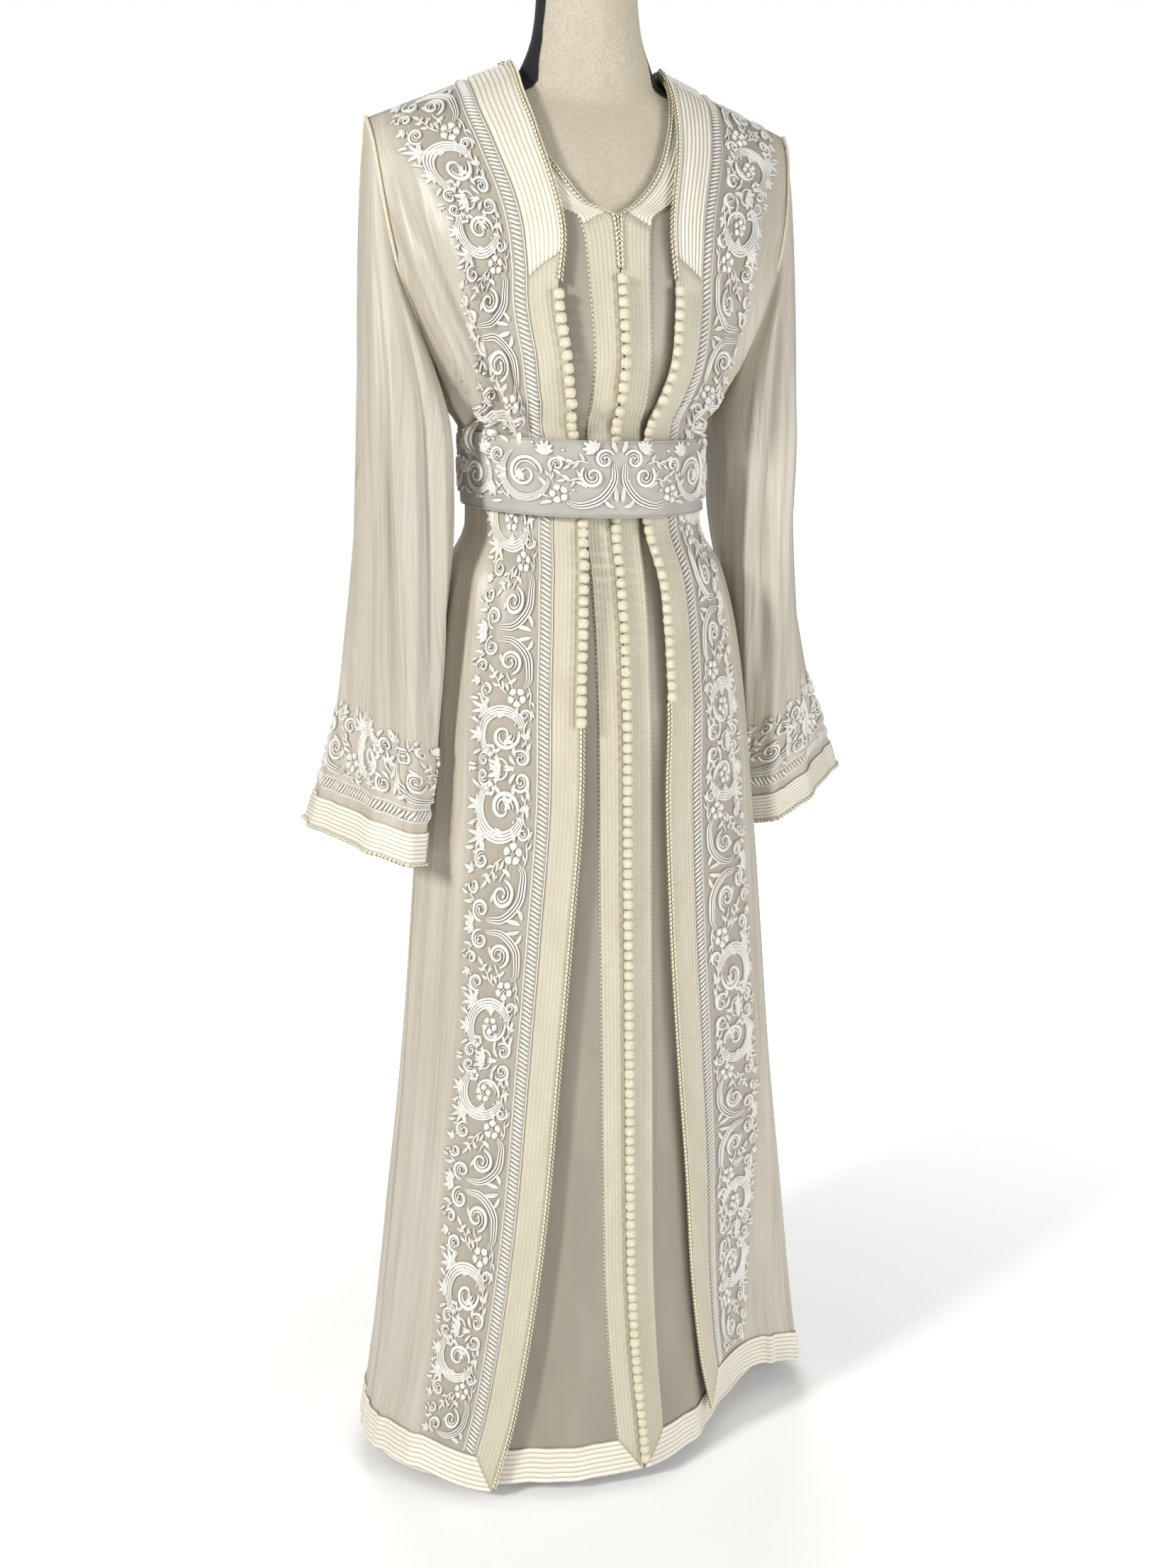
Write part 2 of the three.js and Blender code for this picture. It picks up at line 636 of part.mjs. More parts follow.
function sleeveGrid(side) {
  const columns = 4 * SHARES.length;
  const rings = [];
  for (const t of HEAD_ROWS) {
    const ring = [];
    for (let c = 0; c < columns; c++) {
      const phi = (c / columns) * 2 * Math.PI;
      const start = armholePlace(side, phi);
      const end = sleeveSection(side, SLEEVE_ROWS[0], phi);
      const swing = 1 - Math.abs(1 - phi / Math.PI);
      const leave = new THREE.Vector3(side * lerp(26, 24, swing), 0, lerp(-60, 4, swing));
      const arrive = new THREE.Vector3(0, 0, lerp(-330, -90, swing));
      const p = hermite(start.p, leave, end, arrive, t);
      ring.push({ p, n: start.n });
    }
    rings.push(ring);
  }
  for (const z of SLEEVE_ROWS) {
    const ring = [];
    for (let c = 0; c < columns; c++)
      ring.push({ p: sleeveSection(side, z, (c / columns) * 2 * Math.PI), n: null });
    rings.push(ring);
  }
  return withNormals(rings, side);
}

function hermite(a, leave, b, arrive, t) {
  return a
    .clone()
    .multiplyScalar(2 * t ** 3 - 3 * t ** 2 + 1)
    .addScaledVector(leave, t ** 3 - 2 * t ** 2 + t)
    .addScaledVector(b, 3 * t ** 2 - 2 * t ** 3)
    .addScaledVector(arrive, t ** 3 - t ** 2);
}

// Outward normals of a tube's rings; the first ring keeps those of the armhole
function withNormals(rings, side) {
  const count = rings[0].length;
  return rings.map((ring, r) =>
    ring.map((place, c) => {
      if (r === 0) return place;
      const up = rings[r - 1][c].p;
      const down = rings[Math.min(rings.length - 1, r + 1)][c].p;
      const ahead = ring[(c + 1) % count].p;
      const behind = ring[(c + count - 1) % count].p;
      const n = down.clone().sub(up).cross(ahead.clone().sub(behind)).normalize();
      return { p: place.p, n: n.multiplyScalar(side) };
    }),
  );
}

// A flat ring with a rectangular section that follows the waist
function beltGeometry() {
  const columns = 44;
  const grid = [BELT.low, BELT.high].map((z) => {
    const row = [];
    for (let c = 0; c < columns; c++) {
      const turn = (c / columns) * 2 * Math.PI;
      const [across, ahead] = [Math.sin(turn), Math.cos(turn)];
      const depth = ahead > 0 ? BELT.front : BELT.back;
      const n = new THREE.Vector3(across / BELT.side, -ahead / depth, 0).normalize();
      const up = z + (BELT_TILT.back * (1 - ahead)) / 2 - BELT_TILT.right * across;
      row.push({ p: new THREE.Vector3(BELT.side * across + leanAt(z), -depth * ahead, up), n });
    }
    return row;
  });
  return wall(grid, BELT.thick, true);
}

// The padded torso, ring by ring, closed below and along the shoulder ridge
function torsoGeometry() {
  const columns = 36;
  const levels = [...FORM.levels.map((row) => row.z), ...SHARES.map((s) => ARMPIT_Z + UPPER_SPAN * s)];
  levels[levels.length - 1] = NECK_SIDE_Z - 3;
  const rings = levels.map((level) => {
    const ring = [];
    for (let c = 0; c < columns; c++) {
      const share = clamp((level - ARMPIT_Z) / UPPER_SPAN, 0, 1);
      const p = bodyPoint(FORM, -180 + (c / columns) * 360, level);
      p.x *= lerp(1, FORM_TIP, share);
      if (p.y > RIDGE_Y) p.y = RIDGE_Y + (p.y - RIDGE_Y) * lerp(1, FORM_BACK, share);
      ring.push(p);
    }
    return ring;
  });
  const positions = rings.flat().flatMap((p) => [p.x, p.y, p.z]);
  const faces = [];
  for (let r = 0; r < rings.length - 1; r++)
    for (let c = 0; c < columns; c++) {
      const a = r * columns + c;
      const b = r * columns + ((c + 1) % columns);
      faces.push(a, b, b + columns, a, b + columns, a + columns);
    }
  const last = (rings.length - 1) * columns;
  for (let c = 1; c < columns - 1; c++) faces.push(0, c + 1, c);
  const half = columns / 2;
  const quarter = half / 2;
  for (let c = 0; c < half; c++) {
    const a = last + ((quarter + c) % columns);
    const b = last + ((quarter + c + 1) % columns);
    const d = last + ((quarter - c + columns) % columns);
    const e = last + ((quarter - c - 1 + columns) % columns);
    if (c > 0) faces.push(a, b, d);
    if (c < half - 1) faces.push(b, e, d);
  }
  return turnedOut(solidFrom(positions, faces));
}

function neckGeometry() {
  const sides = 28;
  const rings = NECK.map(({ z, side, front }) => {
    const ring = [];
    for (let k = 0; k < sides; k++) {
      const turn = (k / sides) * 2 * Math.PI;
      ring.push(new THREE.Vector3(side * Math.sin(turn), NECK_Y - front * Math.cos(turn), z));
    }
    return ring;
  });
  return rod(rings);
}

const wasm = await Module();
wasm.setup();

function toManifold(geometry) {
  const merged = mergeVertices(geometry, 1e-4);
  return new wasm.Manifold(
    new wasm.Mesh({
      numProp: 3,
      vertProperties: merged.attributes.position.array,
      triVerts: new Uint32Array(merged.index.array),
    }),
  );
}

// Torso and neck as one padded body
function formGeometry() {
  const joined = toManifold(torsoGeometry()).add(toManifold(neckGeometry())).getMesh();
  return solidFrom(joined.vertProperties, Array.from(joined.triVerts));
}

// A solid of revolution about the stand's axis, from its closed half-profile
function turned(profile, segments = 32) {
  const points = profile.map(([radius, z]) => new THREE.Vector2(radius, z));
  return new THREE.LatheGeometry(points, segments).rotateX(Math.PI / 2);
}

const takchita = new THREE.Group();
takchita.name = "takchita_on_form";

function add(name, geometry, finish) {
  const mesh = new THREE.Mesh(geometry, finish);
  mesh.name = name;
  takchita.add(mesh);
}

const finishes = {
  crepe: material("ivory", 0.5),
  satin: material("satin", 0.45),
  braid: material("braid", 0.6),
  belt: material("belt", 0.4),
  linen: material("linen", 0.9),
  dark: material("dark", 0.6),
  steel: material("steel", 0.4, 1),
};

// The dress form and its stand
add("form_body", formGeometry(), finishes.linen);
const neckTop = NECK[NECK.length - 1].z;
add(
  "form_neck_cap",
  turned([
    [0, neckTop + SEAM],
    [CAP.radius, neckTop + SEAM],
    [CAP.radius, neckTop + CAP.thick - 2],
    [CAP.radius - 3, neckTop + CAP.thick],
    [0, neckTop + CAP.thick],
  ]).translate(0, NECK_Y, 0),
  finishes.dark,
);
add(
  "stand_pole",
  turned([
    [0, POLE.low + SEAM],
    [POLE.radius, POLE.low + SEAM],
    [POLE.radius, POLE.high - SEAM],
    [0, POLE.high - SEAM],
  ], 20),
  finishes.steel,
);
add(
  "stand_base",
  turned([
    [0, 0],
    [BASE.radius, 0],
    [BASE.radius, BASE.thick - 3],
    [BASE.radius - 5, BASE.thick],
    [BASE.collar + 4, BASE.thick + 2],
    [BASE.collar, BASE.collarTop],
    [POLE.radius + SEAM, BASE.collarTop],
    [POLE.radius + SEAM, POLE.low],
    [0, POLE.low],
  ]),
  finishes.steel,
);

// Both layers: two fronts and a back each, with their braid bands and hem bands
const LAYERS = [
  { prefix: "under", layer: UNDER, cloth: "satin", frontColumns: 8, backColumns: 20 },
  { prefix: "over", layer: OVER, cloth: "crepe", frontColumns: 11, backColumns: 20 },
];
for (const { prefix, layer, cloth, frontColumns, backColumns } of LAYERS) {
  for (const [word, side] of [["right", -1], ["left", 1]]) {
    const grid = frontGrid(layer, side, frontColumns);
    const edge = side < 0 ? [frontColumns - 1, frontColumns] : [0, 1];
    const hem = side < 0 ? [0, frontColumns - 1] : [1, frontColumns];
    add(`${prefix}_front_${word}`, wall(grid, CLOTH), finishes[cloth]);
    add(`${prefix}_band_${word}`, wall(onPanel(grid, [0, MITER_ROW], edge), TRIM), finishes.braid);
    const neck = onPanel(grid, [MITER_ROW, TOP_ROW], edge);
    neck[0].forEach(({ p }) => (p.z += SEAM));
    add(`${prefix}_neck_band_${word}`, wall(neck, TRIM), finishes.braid);
    const band = onPanel(grid, [0, 1], hem);
    band.forEach((row) => (row[side < 0 ? row.length - 1 : 0].p.x += side * SEAM));
    add(`${prefix}_hem_band_${word}`, wall(band, TRIM), finishes.braid);
  }
  const grid = backGrid(layer, backColumns);
  add(`${prefix}_back`, wall(grid, CLOTH), finishes[cloth]);
  add(`${prefix}_hem_band_back`, wall(onPanel(grid, [0, 1], [0, backColumns]), TRIM), finishes.braid);
  const reach = Math.asin((NECK_SIDE_X + BACK_BAND_REACH) / RIDGE_HALF_WIDTH);
  const inner = Math.ceil((backColumns / 2) * (1 - degrees(reach) / armholeDeg(NECK_SIDE_Z)));
  const neckBand = onPanel(grid, [TOP_ROW - 1, TOP_ROW], [inner, backColumns - inner]);
  add(`${prefix}_neck_band_back`, wall(neckBand, TRIM), finishes.braid);
}

// Sleeves of the overdress, each with its cuff band
for (const [word, side] of [["right", -1], ["left", 1]]) {
  const rings = sleeveGrid(side);
  const grid = side < 0 ? rings : rings.map((ring) => [...ring].reverse());
  const last = grid.length - 1;
  add(`sleeve_${word}`, turnedOut(wall(grid, CLOTH, true)), finishes.crepe);
  const cuff = onPanel(grid, [last - 1, last], [0, grid[0].length - 1]);
  add(`cuff_band_${word}`, turnedOut(wall(cuff, TRIM, true)), finishes.braid);
}

// Knotted buttons and belt
add("under_buttons", knotRow(underKnots()), finishes.braid);
add("over_buttons_right", knotRow(overKnots(-1)), finishes.braid);
add("over_buttons_left", knotRow(overKnots(1)), finishes.braid);
add("belt", beltGeometry(), finishes.belt);

export default takchita;
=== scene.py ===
import math

import bpy
import numpy as np
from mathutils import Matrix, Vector


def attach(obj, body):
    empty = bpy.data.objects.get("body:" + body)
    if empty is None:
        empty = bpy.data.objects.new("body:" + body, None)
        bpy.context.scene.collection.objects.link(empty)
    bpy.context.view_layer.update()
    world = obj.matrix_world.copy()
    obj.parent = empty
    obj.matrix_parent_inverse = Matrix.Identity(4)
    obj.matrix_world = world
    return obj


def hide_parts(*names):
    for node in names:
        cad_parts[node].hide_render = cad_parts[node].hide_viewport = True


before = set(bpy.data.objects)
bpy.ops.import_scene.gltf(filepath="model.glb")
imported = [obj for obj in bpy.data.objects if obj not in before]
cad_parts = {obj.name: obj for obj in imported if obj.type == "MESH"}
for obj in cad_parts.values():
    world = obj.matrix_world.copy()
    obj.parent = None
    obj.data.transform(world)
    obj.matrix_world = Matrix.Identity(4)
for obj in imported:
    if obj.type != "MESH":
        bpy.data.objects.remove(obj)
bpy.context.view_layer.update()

scene = bpy.context.scene


# Camera: a step to the wearer's right of the gown, at chest height, looking down a little.
# Its focal length is given in pixels of the photo, which is taller than it is wide.
EYE = Vector((-0.638, -1.7525, 1.182))
LOOK_TURN = 20
LOOK_DOWN = 13
SENSOR = 36
FOCAL_PIXELS = 2500
PHOTO_HEIGHT_PIXELS = 2212
LENS = SENSOR * FOCAL_PIXELS / PHOTO_HEIGHT_PIXELS

camera_data = bpy.data.cameras.new("camera")
camera_data.sensor_width = SENSOR
camera_data.lens = LENS
camera_data.clip_start = 0.05
camera_data.clip_end = 60
camera = bpy.data.objects.new("camera", camera_data)
camera.location = EYE
camera.rotation_euler = (math.radians(90 - LOOK_DOWN), 0, math.radians(-LOOK_TURN))
scene.collection.objects.link(camera)
scene.camera = camera


# Sizes that the cloth shares with its solids, in metres
CLOTH = 0.0015
TRIM = 0.0015
SEAM = 0.0003
RESTING = 0.0005
BAND_ROOM = 0.0007
ARMPIT_Z = 1.156
NECK_SIDE_Z = 1.472
NECK_SIDE_X = 0.080
SHOULDER_FALL = 0.4
RIDGE_Y = 0.010
UPPER_SPAN = NECK_SIDE_Z - ARMPIT_Z
RIDGE_HALF_WIDTH = 0.226
HEM_BAND = 0.040
CUFF_BAND = 0.034
BACK_NECK_DROP = 0.060
BACK_BAND_REACH = 0.036
HEM_LIFT_FADES_BY = 0.600


def rows(names, *lines):
    """A short table as columns: its names in one string, then one line for each row"""
    return {name: np.array(column, float) for name, column in zip(names.split(), zip(*lines))}


def each(table):
    """The lines of a table, one after another"""
    return zip(*table.values())


# From the armpit (share 0) to the shoulder ridge (share 1)
UPPER = rows(
    "share rise front back side",
    (0, 0, 0.86, 0.92, 0),
    (0.14, 0.16, 1, 0.97, 0.3),
    (0.34, 0.445, 0.945, 1, 0.72),
    (0.45, 0.553, 0.88, 0.98, 0.82),
    (0.62, 0.73, 0.7, 0.88, 0.92),
    (0.86, 0.93, 0.33, 0.46, 0.98),
    (1, 1, 0, 0, 1),
)
LEAN = rows(
    "z x",
    (0.005, 0),
    (0.675, -0.002),
    (0.915, -0.004),
    (1.035, -0.007),
    (1.225, -0.007),
    (1.375, -0.003),
    (NECK_SIDE_Z, 0),
)
ARMHOLE = rows(
    "share deg",
    (0, 90),
    (0.14, 76),
    (0.34, 72.5),
    (0.45, 71),
    (0.62, 70.5),
    (1, 71),
)
HEM_LIFT = rows(
    "deg under over",
    (-180, 0.026, 0.022),
    (-90, 0.004, 0.010),
    (-65, 0.008, 0.015),
    (-38, 0.010, -0.002),
    (0, 0.012, 0.004),
    (30, 0.012, 0.034),
    (60, 0.028, 0.016),
    (90, 0.014, 0.004),
    (180, 0.026, 0.022),
)
# The left front of both skirts falls inwards towards the hem.
HOLLOW = {"depth": 0.072, "to": 90, "top": 0.575, "power": 1.6}
# Soft ridges that the overdress skirt hangs in, with the share of their height just below the
# belt and how quickly they start there
FOLDS_AT_BELT = 0.25
FOLDS_START = 6
SKIRT_FOLDS = rows(
    "deg half rise",
    (-108, 14, 0.006),
    (-86, 9, 0.003),
    (-66, 8, 0.003),
    (66, 9, 0.007),
    (99, 14, 0.007),
    (126, 14, 0.010),
    (153, 14, 0.008),
    (171, 10, 0.006),
    (-162, 14, 0.010),
    (-135, 14, 0.009),
)

# Smaller creases placed over those folds. Each runs from its top to its low level,
# from one angle to another, half is its half-width in degrees and a trough has a negative rise.
CREASE_FADE = 0.7
OVER_CREASES = rows(
    "top_deg low_deg top low half rise",
    # Skirt, wearer's right and left
    (-52, -56, 1.035, 0.55, 3.2, -0.0030),
    (-60, -63, 1.04, -0.30, 3.5, 0.0043),
    (-67, -72, 1.00, 0.18, 3.0, -0.0035),
    (-74, -80, 1.04, -0.20, 3.6, 0.0054),
    (-81, -87, 1.02, 0.30, 3.0, -0.0038),
    (-88, -97, 1.04, -0.30, 4.2, 0.0058),
    (-97, -104, 0.98, 0.10, 3.6, -0.0041),
    (50, 47, 1.035, 0.62, 3.0, -0.0030),
    (58, 56, 1.04, -0.30, 3.4, 0.0047),
    (65, 71, 1.02, 0.22, 3.2, -0.0041),
    (73, 80, 1.04, -0.30, 3.8, 0.0054),
    (82, 90, 1.00, 0.26, 3.2, -0.0035),
    (92, 101, 1.04, -0.30, 4.0, 0.0054),
    # Bodice, from the belt up towards each armhole
    (-49, -42, 1.30, 1.05, 3.4, 0.0065),
    (-60, -50, 1.33, 1.05, 3.2, 0.0060),
    (-71, -60, 1.28, 1.05, 3.4, 0.0070),
    (-83, -74, 1.24, 1.05, 4.0, 0.0060),
    (50, 43, 1.31, 1.05, 3.4, 0.0060),
    (61, 52, 1.28, 1.05, 3.2, 0.0065),
    (73, 63, 1.30, 1.05, 3.6, 0.0070),
    (85, 76, 1.24, 1.05, 4.0, 0.0055),
    # Skirt, back
    (104, 112, 1.03, 0.12, 4.0, -0.0043),
    (116, 121, 1.04, -0.30, 4.4, 0.0061),
    (129, 137, 1.02, 0.08, 4.0, -0.0046),
    (141, 146, 1.04, -0.30, 4.0, 0.0054),
    (155, 162, 1.00, 0.15, 4.4, -0.0046),
    (169, 173, 1.04, -0.30, 4.0, 0.0054),
    (-176, -178, 1.02, 0.10, 4.2, -0.0043),
    (-164, -168, 1.04, -0.30, 4.2, 0.0061),
    (-151, -154, 1.01, 0.12, 4.0, -0.0043),
    (-139, -142, 1.04, -0.30, 4.2, 0.0058),
    (-126, -130, 1.02, 0.16, 4.0, -0.0041),
    (-113, -116, 1.04, -0.30, 4.2, 0.0054),
    # Bodice, blousing down into the belt
    (-47, -43, 1.33, 1.08, 4.0, 0.0052),
    (-55, -52, 1.36, 1.07, 3.4, -0.0042),
    (-63, -60, 1.37, 1.07, 4.0, 0.0073),
    (-69, -69, 1.30, 1.08, 3.2, -0.0042),
    (-74, -78, 1.24, 1.07, 4.2, 0.0069),
    (-84, -87, 1.17, 1.07, 3.6, -0.0036),
    (45, 42, 1.32, 1.08, 4.0, 0.0048),
    (54, 50, 1.37, 1.08, 3.6, -0.0042),
    (62, 59, 1.36, 1.07, 4.2, 0.0073),
    (69, 67, 1.30, 1.07, 3.4, -0.0045),
    (75, 77, 1.24, 1.08, 4.2, 0.0065),
    (100, 97, 1.22, 1.07, 5.0, 0.0056),
    (112, 110, 1.30, 1.08, 4.4, -0.0039),
    (124, 124, 1.36, 1.07, 5.0, 0.0065),
    (138, 137, 1.30, 1.08, 4.6, -0.0042),
    (152, 152, 1.26, 1.07, 5.0, 0.0056),
    (168, 166, 1.22, 1.08, 4.6, -0.0032),
    (-98, -96, 1.22, 1.07, 5.0, 0.0060),
    (-111, -109, 1.31, 1.08, 4.4, -0.0039),
    (-123, -122, 1.36, 1.07, 5.0, 0.0065),
    (-137, -136, 1.28, 1.08, 4.6, -0.0039),
    (-150, -151, 1.27, 1.07, 5.0, 0.0060),
    (-167, -166, 1.21, 1.08, 4.6, -0.0032),
)
UNDER_CREASES = rows(
    "top_deg low_deg top low half rise",
    (-22, -26, 1.02, 0.10, 6.0, -0.0021),
    (-34, -40, 0.98, -0.10, 6.5, 0.0023),
    (14, 17, 1.00, 0.22, 5.0, 0.0018),
    (27, 34, 0.70, -0.10, 6.0, -0.0052),
    (15, 22, 0.42, -0.20, 5.0, 0.0047),
    (-14, -17, 0.40, -0.15, 5.0, 0.0029),
    (-24, -30, 0.34, -0.12, 5.5, -0.0039),
    (-14, -14, 1.30, 1.13, 5.0, 0.0016),
    (14, 13, 1.30, 1.12, 5.0, 0.0018),
)
# A fold line pressed across the underdress while it lay packed
PRESSED = {"z": 0.665, "low_deg": -14, "high_deg": -2, "deep": 0.0008, "half": 0.004}

OVER_EDGE = rows(
    "z right left",
    (0.011, 0.160, 0.106),
    (0.105, 0.134, 0.084),
    (0.225, 0.112, 0.069),
    (0.335, 0.097, 0.062),
    (0.475, 0.083, 0.051),
    (0.635, 0.067, 0.042),
    (0.765, 0.055, 0.039),
    (0.859, 0.051, 0.043),
    (0.964, 0.042, 0.043),
    (1.042, 0.032, 0.034),
    (1.080, 0.034, 0.032),
    (1.134, 0.043, 0.036),
    (1.188, 0.056, 0.049),
    (1.260, 0.066, 0.054),
    (1.305, 0.062, 0.050),
    (1.405, 0.079, 0.070),
    (1.445, 0.084, 0.076),
    (NECK_SIDE_Z, NECK_SIDE_X, NECK_SIDE_X),
)
UNDER_EDGE = rows(
    "z right left",
    (0.015, -0.007, 0.009),
    (0.042, -0.005, 0.007),
    (0.162, 0.004, -0.002),
    (0.261, 0.007, -0.005),
    (0.675, 0.006, -0.004),
    (0.855, 0.004, -0.002),
    (1.075, -0.001, 0.003),
    (1.225, 0.003, -0.001),
    (1.305, 0.006, -0.004),
    (1.328, 0.008, -0.003),
    (1.337, 0.034, 0.012),
    (1.363, 0.056, 0.038),
    (1.393, 0.075, 0.055),
    (1.430, 0.084, 0.069),
    (NECK_SIDE_Z, NECK_SIDE_X, NECK_SIDE_X),
)
OVER_BAND = rows(
    "z width",
    (0.005, 0.028),
    (1.265, 0.028),
    (1.305, 0.034),
    (1.365, 0.036),
    (NECK_SIDE_Z, 0.044),
)
UNDER_BAND = rows(
    "z width",
    (0.005, 0.026),
    (1.175, 0.027),
    (1.305, 0.031),
    (1.345, 0.036),
    (NECK_SIDE_Z, 0.034),
)

FORM = {
    "hem": 0.775,
    "up": 0,
    "bust": (0.120, 0.100),
    "levels": rows(
        "z side front back",
        (0.775, 0.140, 0.084, 0.104),
        (0.835, 0.149, 0.090, 0.108),
        (0.905, 0.144, 0.090, 0.102),
        (0.985, 0.128, 0.088, 0.094),
        (1.035, 0.1165, 0.0855, 0.0865),
        (1.080, 0.116, 0.085, 0.086),
        (1.132, 0.1173, 0.087, 0.0865),
        (ARMPIT_Z, 0.130, 0.1032, 0.092),
    ),
}
UNDER = {
    "hem": 0.005,
    "up": RESTING + CLOTH,
    "bust": (0.125, 0.1055),
    "lifts": "under",
    "edge": UNDER_EDGE,
    "band": UNDER_BAND,
    "creases": UNDER_CREASES,
    "levels": rows(
        "z side front back",
        (0.005, 0.251, 0.156, 0.167),
        (0.125, 0.234, 0.151, 0.159),
        (0.275, 0.215, 0.145, 0.149),
        (0.475, 0.193, 0.139, 0.139),
        (0.675, 0.177, 0.132, 0.131),
        (0.825, 0.165, 0.127, 0.124),
        (0.915, 0.155, 0.117, 0.115),
        (0.985, 0.139, 0.103, 0.103),
        (1.035, 0.120, 0.089, 0.090),
        (1.080, 0.1195, 0.0885, 0.0895),
        (1.132, 0.1208, 0.0905, 0.090),
        (ARMPIT_Z, 0.1345, 0.1075, 0.097),
    ),
}
OVER = {
    "hem": 0.015,
    "up": 2 * (RESTING + CLOTH) + SEAM + TRIM + BAND_ROOM,
    "bust": (0.131, 0.112),
    "lifts": "over",
    "edge": OVER_EDGE,
    "band": OVER_BAND,
    "creases": OVER_CREASES,
    "levels": rows(
        "z side front back",
        (0.015, 0.263, 0.169, 0.178),
        (0.125, 0.246, 0.162, 0.169),
        (0.275, 0.227, 0.156, 0.159),
        (0.475, 0.204, 0.150, 0.149),
        (0.675, 0.187, 0.143, 0.141),
        (0.825, 0.174, 0.137, 0.133),
        (0.915, 0.164, 0.127, 0.124),
        (0.985, 0.149, 0.114, 0.112),
        (1.035, 0.124, 0.094, 0.094),
        (1.080, 0.1235, 0.0935, 0.0935),
        (1.132, 0.1246, 0.0955, 0.0942),
        (ARMPIT_Z, 0.141, 0.1127, 0.103),
    ),
}

BELT = {"low": 1.044, "high": 1.119, "side": 0.1278, "front": 0.108, "back": 0.0978, "thick": 0.0026}
BELT_TILT = {"back": 0.014, "right": 0.003}

# Sleeve sections below the armpit, for the wearer's right (-1) and left (1) sleeve
SLEEVES = {
    -1: rows(
        "z x y out front turn",
        (1.115, 0.194, 0.002, 0.043, 0.064, 0),
        (1.035, 0.198, 0.002, 0.041, 0.067, -4),
        (0.935, 0.207, 0.002, 0.037, 0.071, -10),
        (0.845, 0.219, 0.002, 0.033, 0.073, -16),
        (0.795, 0.227, 0.002, 0.030, 0.077, -20),
        (0.743, 0.239, 0.002, 0.028, 0.081, -23),
        (0.709, 0.247, 0.002, 0.027, 0.086, -24),
    ),
    1: rows(
        "z x y out front turn",
        (1.115, 0.184, 0.004, 0.042, 0.062, 0),
        (1.035, 0.189, 0.010, 0.040, 0.066, -8),
        (0.935, 0.208, 0.022, 0.037, 0.071, -20),
        (0.845, 0.233, 0.038, 0.036, 0.075, -32),
        (0.795, 0.247, 0.048, 0.037, 0.080, -38),
        (0.743, 0.264, 0.062, 0.038, 0.086, -43),
        (0.709, 0.276, 0.070, 0.038, 0.090, -45),
    ),
}
SLEEVE_TOP = 1.115
SLEEVE_END = 0.709
# A sleeve's folds start at its top and are whole this far below it.
SLEEVE_FOLDS_OVER = 0.2
# The cuff's end is tilted: how far for each sleeve, from what height and over what length
CUFF_TILT = {-1: 0.014, 1: 0.026}
CUFF_TILT_FROM = 0.875
CUFF_TILT_OVER = 0.15
CUFF_TILT_OUT = 0.5
CUFF_TILT_FRONT = 0.7
SLEEVE_CORNER = 2.6
# How a sleeve leaves the armhole and comes to its first section: a value on the outside, and
# what is added to it on the inside
LEAVE_OUT = (0.026, -0.002)
LEAVE_UP = (-0.060, 0.064)
ARRIVE_UP = (-0.330, 0.240)
UNDERARM = {"lift": 0.0022, "from": 0.62, "over": 0.38}
SLEEVE_CREASES_OVER = 0.35
SLEEVE_FOLDS = rows(
    "deg half rise",
    (25, 16, 0.005),
    (75, 14, 0.004),
    (330, 16, 0.005),
    (285, 15, 0.005),
)
SLEEVE_CREASES = rows(
    "top_deg low_deg top low half rise",
    (42, 50, 1.30, 0.80, 7, -0.0090),
    (62, 58, 1.22, 0.72, 6, 0.0086),
    (95, 92, 1.25, 0.86, 8, -0.0090),
    (118, 108, 1.18, 0.74, 7, 0.0075),
    (12, 4, 1.26, 0.78, 8, -0.0072),
    (350, 352, 1.20, 0.74, 7, 0.0064),
    (312, 306, 1.24, 0.80, 8, -0.0088),
    (264, 268, 1.22, 0.76, 8, -0.0060),
    (232, 244, 1.16, 0.80, 8, 0.0056),
    (150, 165, 1.12, 0.84, 10, 0.0048),
    (200, 190, 1.10, 0.86, 10, -0.0045),
)

NECK = rows(
    "z side front",
    (1.375, 0.060, 0.044),
    (1.445, 0.068, 0.046),
    (1.467, 0.070, 0.046),
    (1.481, 0.065, 0.046),
    (1.499, 0.0575, 0.046),
    (1.520, 0.053, 0.046),
    (1.545, 0.0505, 0.046),
    (1.593, 0.050, 0.046),
)
NECK_Y = 0.004
FORM_TIP = 0.84
FORM_BACK = 0.72

KNOT = {"pitch": 0.0108, "across": 0.0052, "deep": 0.0042, "pressed": 0.5}
UNDER_KNOTS = (1.275, 0.015)
OVER_KNOTS = {-1: (1.259, 0.841), 1: (1.263, 0.861)}


def smooth(t):
    t = np.clip(t, 0, 1)
    return t * t * (3 - 2 * t)


def read(table, by, column, at):
    """A column of a table at places between its rows, on a smooth curve that never overshoots them"""
    x, y = table[by], table[column]
    if x[-1] < x[0]:
        x, y = x[::-1], y[::-1]
    at = np.clip(np.asarray(at, float), x[0], x[-1])
    slope = np.diff(y) / np.diff(x)
    before, after = slope[:-1], slope[1:]
    same_way = before * after > 0
    bend = np.where(same_way, 2 * before * after / np.where(same_way, before + after, 1), 0)
    tangent = np.concatenate([slope[:1], bend, slope[-1:]])
    i = np.clip(np.searchsorted(x, at, side="right") - 1, 0, len(x) - 2)
    span = x[i + 1] - x[i]
    t = (at - x[i]) / span
    ends = y[i] * (1 + 2 * t) * (1 - t) ** 2 + y[i + 1] * t * t * (3 - 2 * t)
    return ends + span * (tangent[i] * t * (1 - t) ** 2 - tangent[i + 1] * t * t * (1 - t))


def within_half_turn(deg):
    return (deg + 540) % 360 - 180


